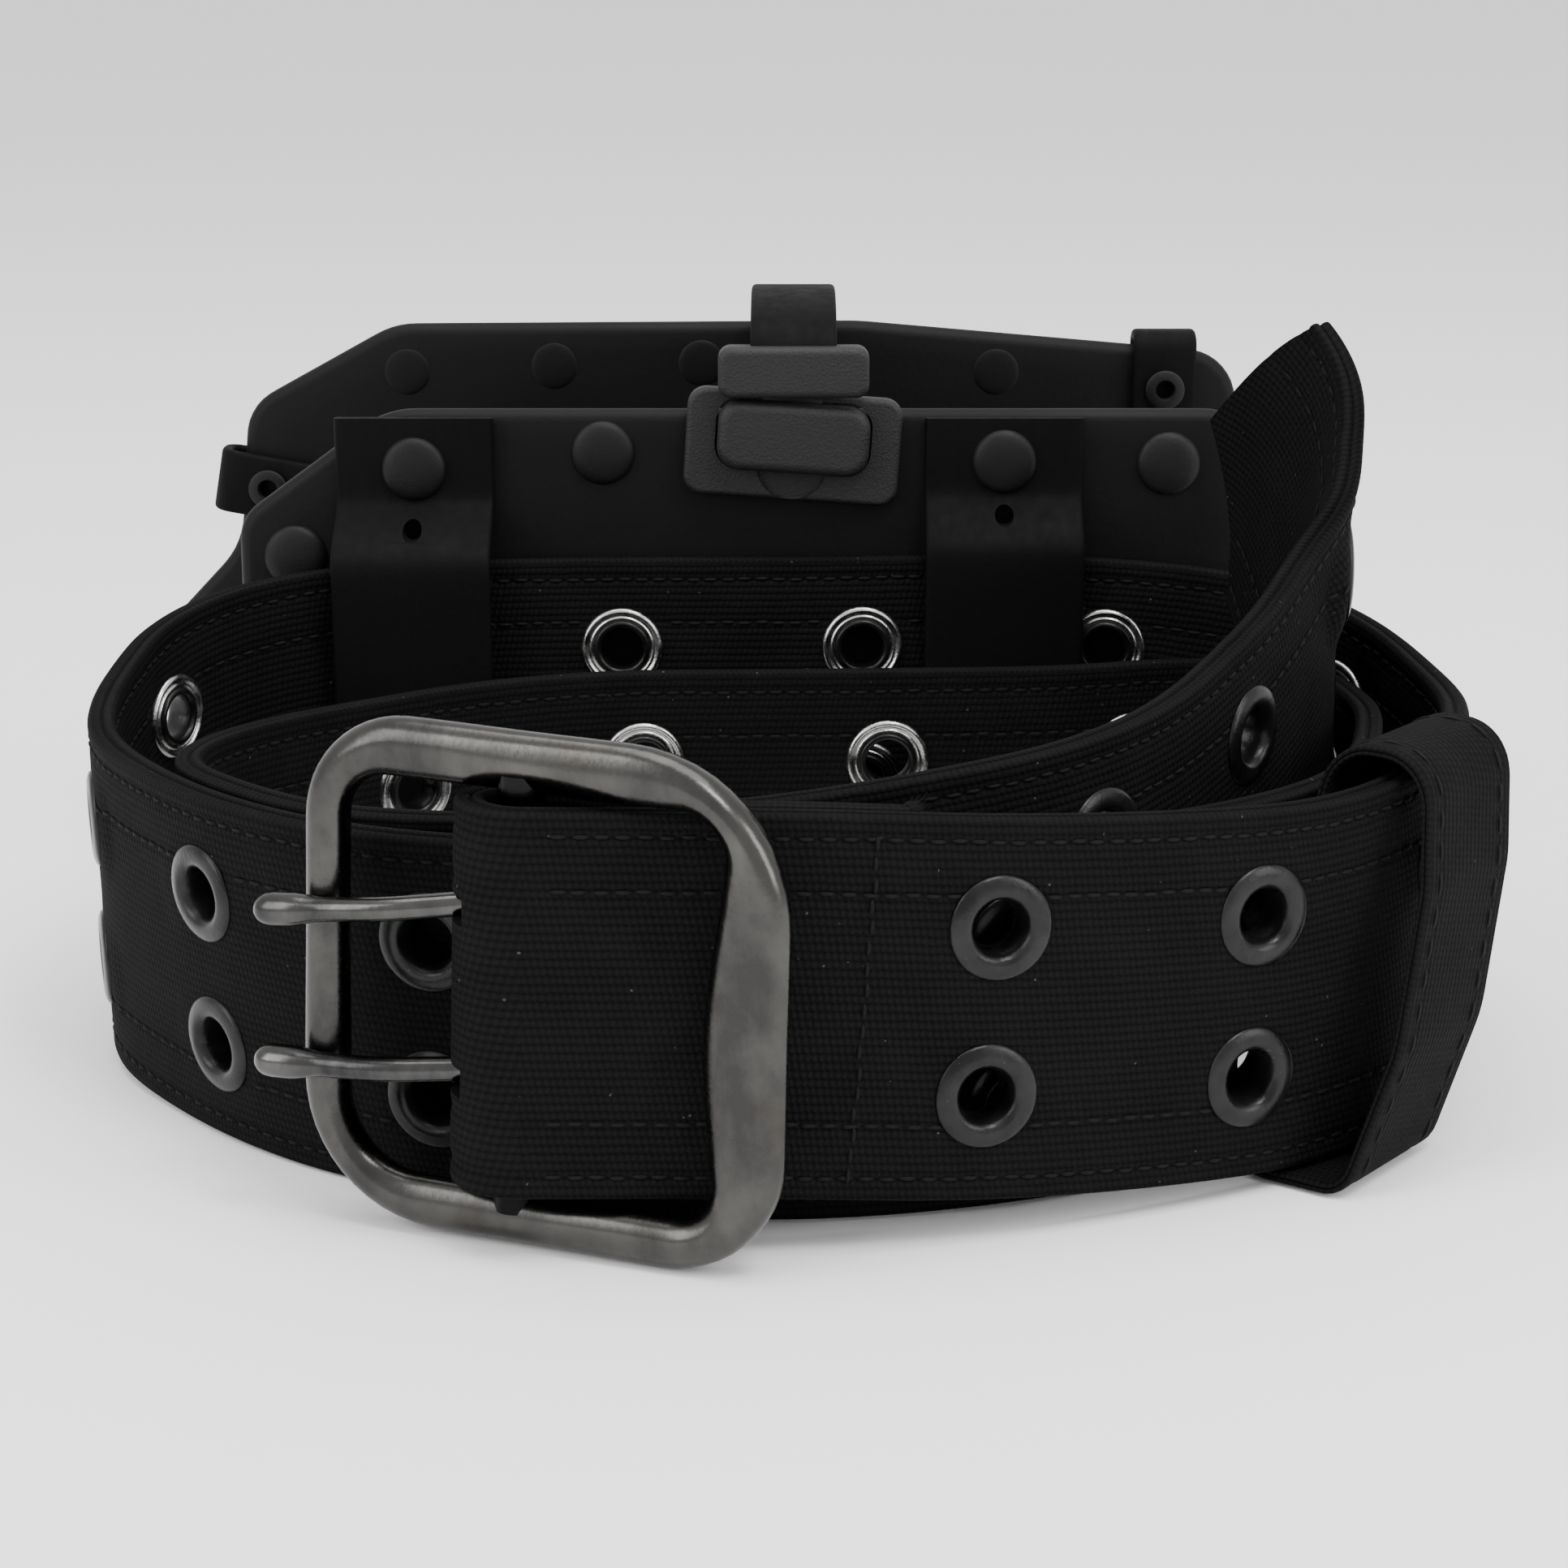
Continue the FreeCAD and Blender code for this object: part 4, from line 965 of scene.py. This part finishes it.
def build_panels():
    m = OUTER_MIDDLE
    inner = corner_outline([(-87, 0, 8), (-87, 69.5, 7), (-63, 87, 14), (73, 87, 6), (73, 0, 8)])
    finish_piece(plate("inner_panel_sheet", inner, PANEL_FRONT, PANEL_THICK, 1.9, LEATHER), "pouch",
                 "panel_leather", "inner_panel")
    outer = corner_outline([(m - 92, 6, 10), (m - 104, 38, 9), (m - 86, 57, 14), (m - 84, 81, 9),
                            (m - 58.5, 95, 14), (m + 20, 95.5, 40), (m + 84, 90, 9), (m + 86, 57, 14),
                            (m + 104, 38, 9), (m + 92, 6, 10)])
    finish_piece(plate("outer_panel_sheet", outer, OUTER_FRONT, PANEL_THICK, 1.9, LEATHER), "pouch",
                 "panel_leather", "outer_panel")


def strip(path, middle, width, thick, step=0.8):
    """Flat strip with softly rolled edges that follows a side view path of y, z points at constant x."""
    line = np.column_stack([np.full(len(path), float(middle)), np.array(path, float)])
    line = resample(smooth_curve([tuple(p) + (0,) for p in line]), step)[:, :3]
    along = unit(np.gradient(line, axis=0))
    normal = np.column_stack([0 * along[:, 0], -along[:, 2], along[:, 1]])
    side = np.array([1.0, 0, 0])
    h, half = thick / 2, width / 2
    roll = min(h, 0.7)
    section = []
    for sx, sy, start in ((1, 1, 0), (-1, 1, 90), (-1, -1, 180), (1, -1, 270)):
        for k in range(4):
            a = math.radians(start + 30 * k)
            section.append((sx * (half - roll) + roll * math.cos(a), sy * (h - roll) + roll * math.sin(a)))
    rings = [[p + side * x + n * y for x, y in section] for p, n in zip(line, normal)]
    return tube(rings)


def keeper_strap_path(clear, cap):
    on_panel = PANEL_FRONT - 1.8 / 2 - 0.42
    path = [(on_panel, 86.0), (on_panel, 83.0), (on_panel, 80.0)]
    for i in range(9):
        t = i / 8
        path.append((on_panel + (clear - on_panel) * (1 - math.cos(math.pi * t)) / 2, cap - 4.8 - 9.2 * t))
    path += [(clear, 55.0), (clear, 40.0), (clear, 25.0), (clear, 16.0)]
    for i in range(1, 6):
        angle = math.pi / 2 * i / 5
        path.append((clear + 4 - 4 * math.cos(angle), 14.5 - 4 * math.sin(angle)))
    return path + [((clear + 4 + PANEL_FRONT) / 2, 10.5), (PANEL_FRONT, 10.5)]


LOOPS = [("keeper_strap_left", -58.5, 113.3, 78.0, 69.0), ("keeper_strap_right", 34.8, 116.6, 79.2, 71.0)]
CAPS_ON_PANEL = [(-78, 63.5), (-28.7, 80.2), (61, 78.5)]
RIVETS_ON_OUTER = [(-64, 87), (-39, 88), (-14, 88.5), (36, 87)]
BRACES = [("right", 64.5, 84.3, 0.0, 6.2), ("left", -88.0, 67.3, 80.0, 5.6)]


def build_keeper_straps():
    for node, x, clear, cap, hole in LOOPS:
        verts, faces = strip(keeper_strap_path(clear, cap), x, 25.0, 1.8)
        obj = new_object(node + "_band", row(verts), faces, COATED, 40)
        drill(obj, (x, 118.0, hole), 1.5, 20)
        finish_piece(obj, "pouch", "strap_rubber", node)


def dome_rings(x, y, z, radius, rise, count=36):
    """Low cap with a rolled rim, rising toward the front."""
    profile = [(0.02, rise), (0.3, rise * 0.985), (0.6, rise * 0.88), (0.8, rise * 0.7), (0.92, rise * 0.48),
               (0.985, rise * 0.2), (1.0, 0.0), (0.97, -0.12), (0.4, -0.12)]
    rings = []
    for r, h in profile:
        rings.append([(x + radius * r * math.cos(a), y - h, z + radius * r * math.sin(a))
                      for a in np.arange(count) * 2 * math.pi / count])
    return tube(rings)


def build_caps():
    back = PANEL_FRONT + PANEL_THICK
    seats = [(x, z, PANEL_FRONT) for x, z in CAPS_ON_PANEL]
    seats += [(x, cap, PANEL_FRONT - 1.8 - 0.5) for _, x, _, cap, _ in LOOPS]
    parts = []
    for x, z, y in seats:
        parts.append(dome_rings(x, y, z, 5.1, 1.5))
        parts.append(dome_rings(x, back + 0.75, z, 4.0, -0.7))
    verts, faces = join(parts)
    caps = new_object("panel_cap_domes", row(verts), faces, CAP, 50)
    finish_piece(caps, "pouch", "cap_paint", "panel_caps")
    parts = []
    for x, z in RIVETS_ON_OUTER:
        parts.append(dome_rings(x, OUTER_FRONT, z, 3.9, 0.4))
        parts.append(dome_rings(x, OUTER_FRONT + PANEL_THICK + 0.75, z, 4.0, -0.7))
    verts, faces = join(parts)
    rivets = new_object("outer_rivet_domes", row(verts), faces, LEATHER, 50)
    finish_piece(rivets, "pouch", "cap_paint", "outer_rivets")


def build_braces():
    gap, t = 0.4, 1.8
    radius = PANEL_THICK / 2 + gap + t / 2
    y0 = OUTER_FRONT + PANEL_THICK / 2
    for name, x, z, tilt, rise in BRACES:
        path = [(y0 - radius, -6.5), (y0 - radius, 0), (y0 - radius, rise / 2)]
        for i in range(9):
            angle = math.pi * i / 8
            side = math.copysign(abs(math.cos(angle)) ** 0.75, -math.cos(angle))
            path.append((y0 + radius * side, rise + 2.6 * math.sin(angle) ** 0.75))
        path += [(y0 + radius, rise / 2), (y0 + radius, 0), (y0 + radius, -6.5)]
        verts, faces = strip(path, 0, 10.6, t, 0.6)
        a = math.radians(-tilt)
        turned = np.column_stack([verts[:, 0] * math.cos(a) + verts[:, 2] * math.sin(a), verts[:, 1],
                                  -verts[:, 0] * math.sin(a) + verts[:, 2] * math.cos(a)]) + [x, 0, z]
        obj = new_object("brace_band_" + name, row(turned), faces, COATED, 40)
        drill(obj, (x, y0, z), 2.44, 30)
        finish_piece(obj, name + "_brace", "strap_rubber", "brace_loop_" + name)
    profile = [(1.5, 0.3), (1.75, 0.0), (3.0, 0.0), (3.3, 0.25), (3.3, 0.6), (3.1, 0.7), (2.42, 0.72),
               (2.4, 5.3), (2.42, 9.88), (3.1, 9.9), (3.3, 10.0), (3.3, 10.35), (3.0, 10.6), (1.75, 10.6),
               (1.5, 10.3)]
    parts = []
    for _, x, z, _, _ in BRACES:
        parts.append(lathe(profile, 32, np.array([x, OUTER_FRONT - 3.3, z]), np.array([1.0, 0, 0]),
                           np.array([0, 0, 1.0]), np.array([0, 1.0, 0])))
    verts, faces = join(parts)
    finish_piece(new_object("hollow_rivet_rings", row(verts), faces, CAP, 50), "pouch", "cap_paint",
                 "hollow_rivets")


def build_closure():
    root = OUTER_FRONT - 1.0
    low_end = PANEL_FRONT - 2.6 - 1.8
    path = [(low_end, 90.8), (low_end, 95.2), (121.2, 98.2), (124.4, 101.0), (130.0, 102.7), (138.0, 103.6),
            (147.0, 103.3), (155.5, 102.0), (162.0, 99.6), (165.2, 97.9), (root, 96.6), (root, 95.9),
            (root, 90.0), (root, 84.0), (root, 77.5)]
    verts, faces = strip(path, CLIP_MIDDLE, 13.5, 1.8, 0.6)
    obj = new_object("closure_band", row(verts), faces, COATED, 40)
    start = row([CLIP_MIDDLE, root, 94.4])
    end = row([CLIP_MIDDLE, 160.0, 100.5])
    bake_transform(obj)
    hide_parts("closure_strap", "closure_anchor")


def dress_cad_nodes():
    """CAD pieces whose shape is right keep it and get their finish."""
    for name, material in (("clip_plate", PLASTIC), ("clip_button", PLASTIC), ("clip_bridge", PLASTIC),
                           ("button_spring", NICKEL), ("closure_rivet", CAP), ("pouch_floor", LEATHER)):
        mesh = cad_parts[name].data
        mesh.materials.clear()
        mesh.materials.append(material)


# ---------------------------------------------------------------- stage

# the camera's lens and place in mm, in the belt's own lengths, and its angle below level
LENS = 79.19
LOOK_DOWN = 15.0
EYE_HEIGHT = 171.0
EYE_BACK = 417.0


def build_camera():
    data = bpy.data.cameras.new("camera")
    data.sensor_width = 36.0
    data.lens = LENS
    data.clip_start = 0.01
    data.clip_end = 50
    camera = bpy.data.objects.new("camera", data)
    bpy.context.scene.collection.objects.link(camera)
    camera.location = Vector(row([0.0, -EYE_BACK, EYE_HEIGHT]))
    camera.rotation_euler = (math.radians(90 - LOOK_DOWN), 0, 0)
    bpy.context.scene.camera = camera


def area_light(name, place, aim, size, power):
    data = bpy.data.lights.new(name, "AREA")
    data.shape = "RECTANGLE"
    data.size, data.size_y = size
    data.energy = power
    light = bpy.data.objects.new(name, data)
    bpy.context.scene.collection.objects.link(light)
    light.location = place
    direction = Vector(aim) - Vector(place)
    light.rotation_euler = direction.to_track_quat("-Z", "Y").to_euler()


def build_stage():
    size = 6.0
    verts = [(-size, -size, 0), (size, -size, 0), (size, size, 0), (-size, size, 0)]
    m = Shader("pale_floor")
    speck = m.noise(m.place("Object"), 3.0, 2.0)
    m.set(Base_Color=m.mix(speck, (0.93, 0.93, 0.93), (0.95, 0.95, 0.95)), Roughness=0.9,
          Specular_IOR_Level=0.1)
    floor = new_object("floor", verts, [(0, 1, 2, 3)], m.material)
    world = bpy.data.worlds.new("studio")
    bpy.context.scene.world = world
    world.use_nodes = True
    world.node_tree.nodes["Background"].inputs["Color"].default_value = (1, 1, 1, 1)
    world.node_tree.nodes["Background"].inputs["Strength"].default_value = 1.3
    area_light("overhead", (0.0, -0.05, 1.1), (0, 0.02, 0), (0.9, 0.7), 9)
    area_light("crest_light", (0.3, -0.45, 0.9), (0, 0, 0.04), (0.25, 0.25), 4)
    area_light("left_soft", (-0.9, -0.55, 0.6), (0, 0, 0.04), (0.5, 0.8), 7)
    area_light("right_soft", (0.9, -0.45, 0.5), (0, 0, 0.04), (0.4, 0.7), 5)


build_camera()
build_stage()
build_strap()
build_fold()
build_stitching()
build_frayed_fibres()
build_eyelets()
build_buckle_frame()
build_bar_and_prongs()
build_keeper()
build_panels()
build_keeper_straps()
build_caps()
build_braces()
build_closure()
dress_cad_nodes()
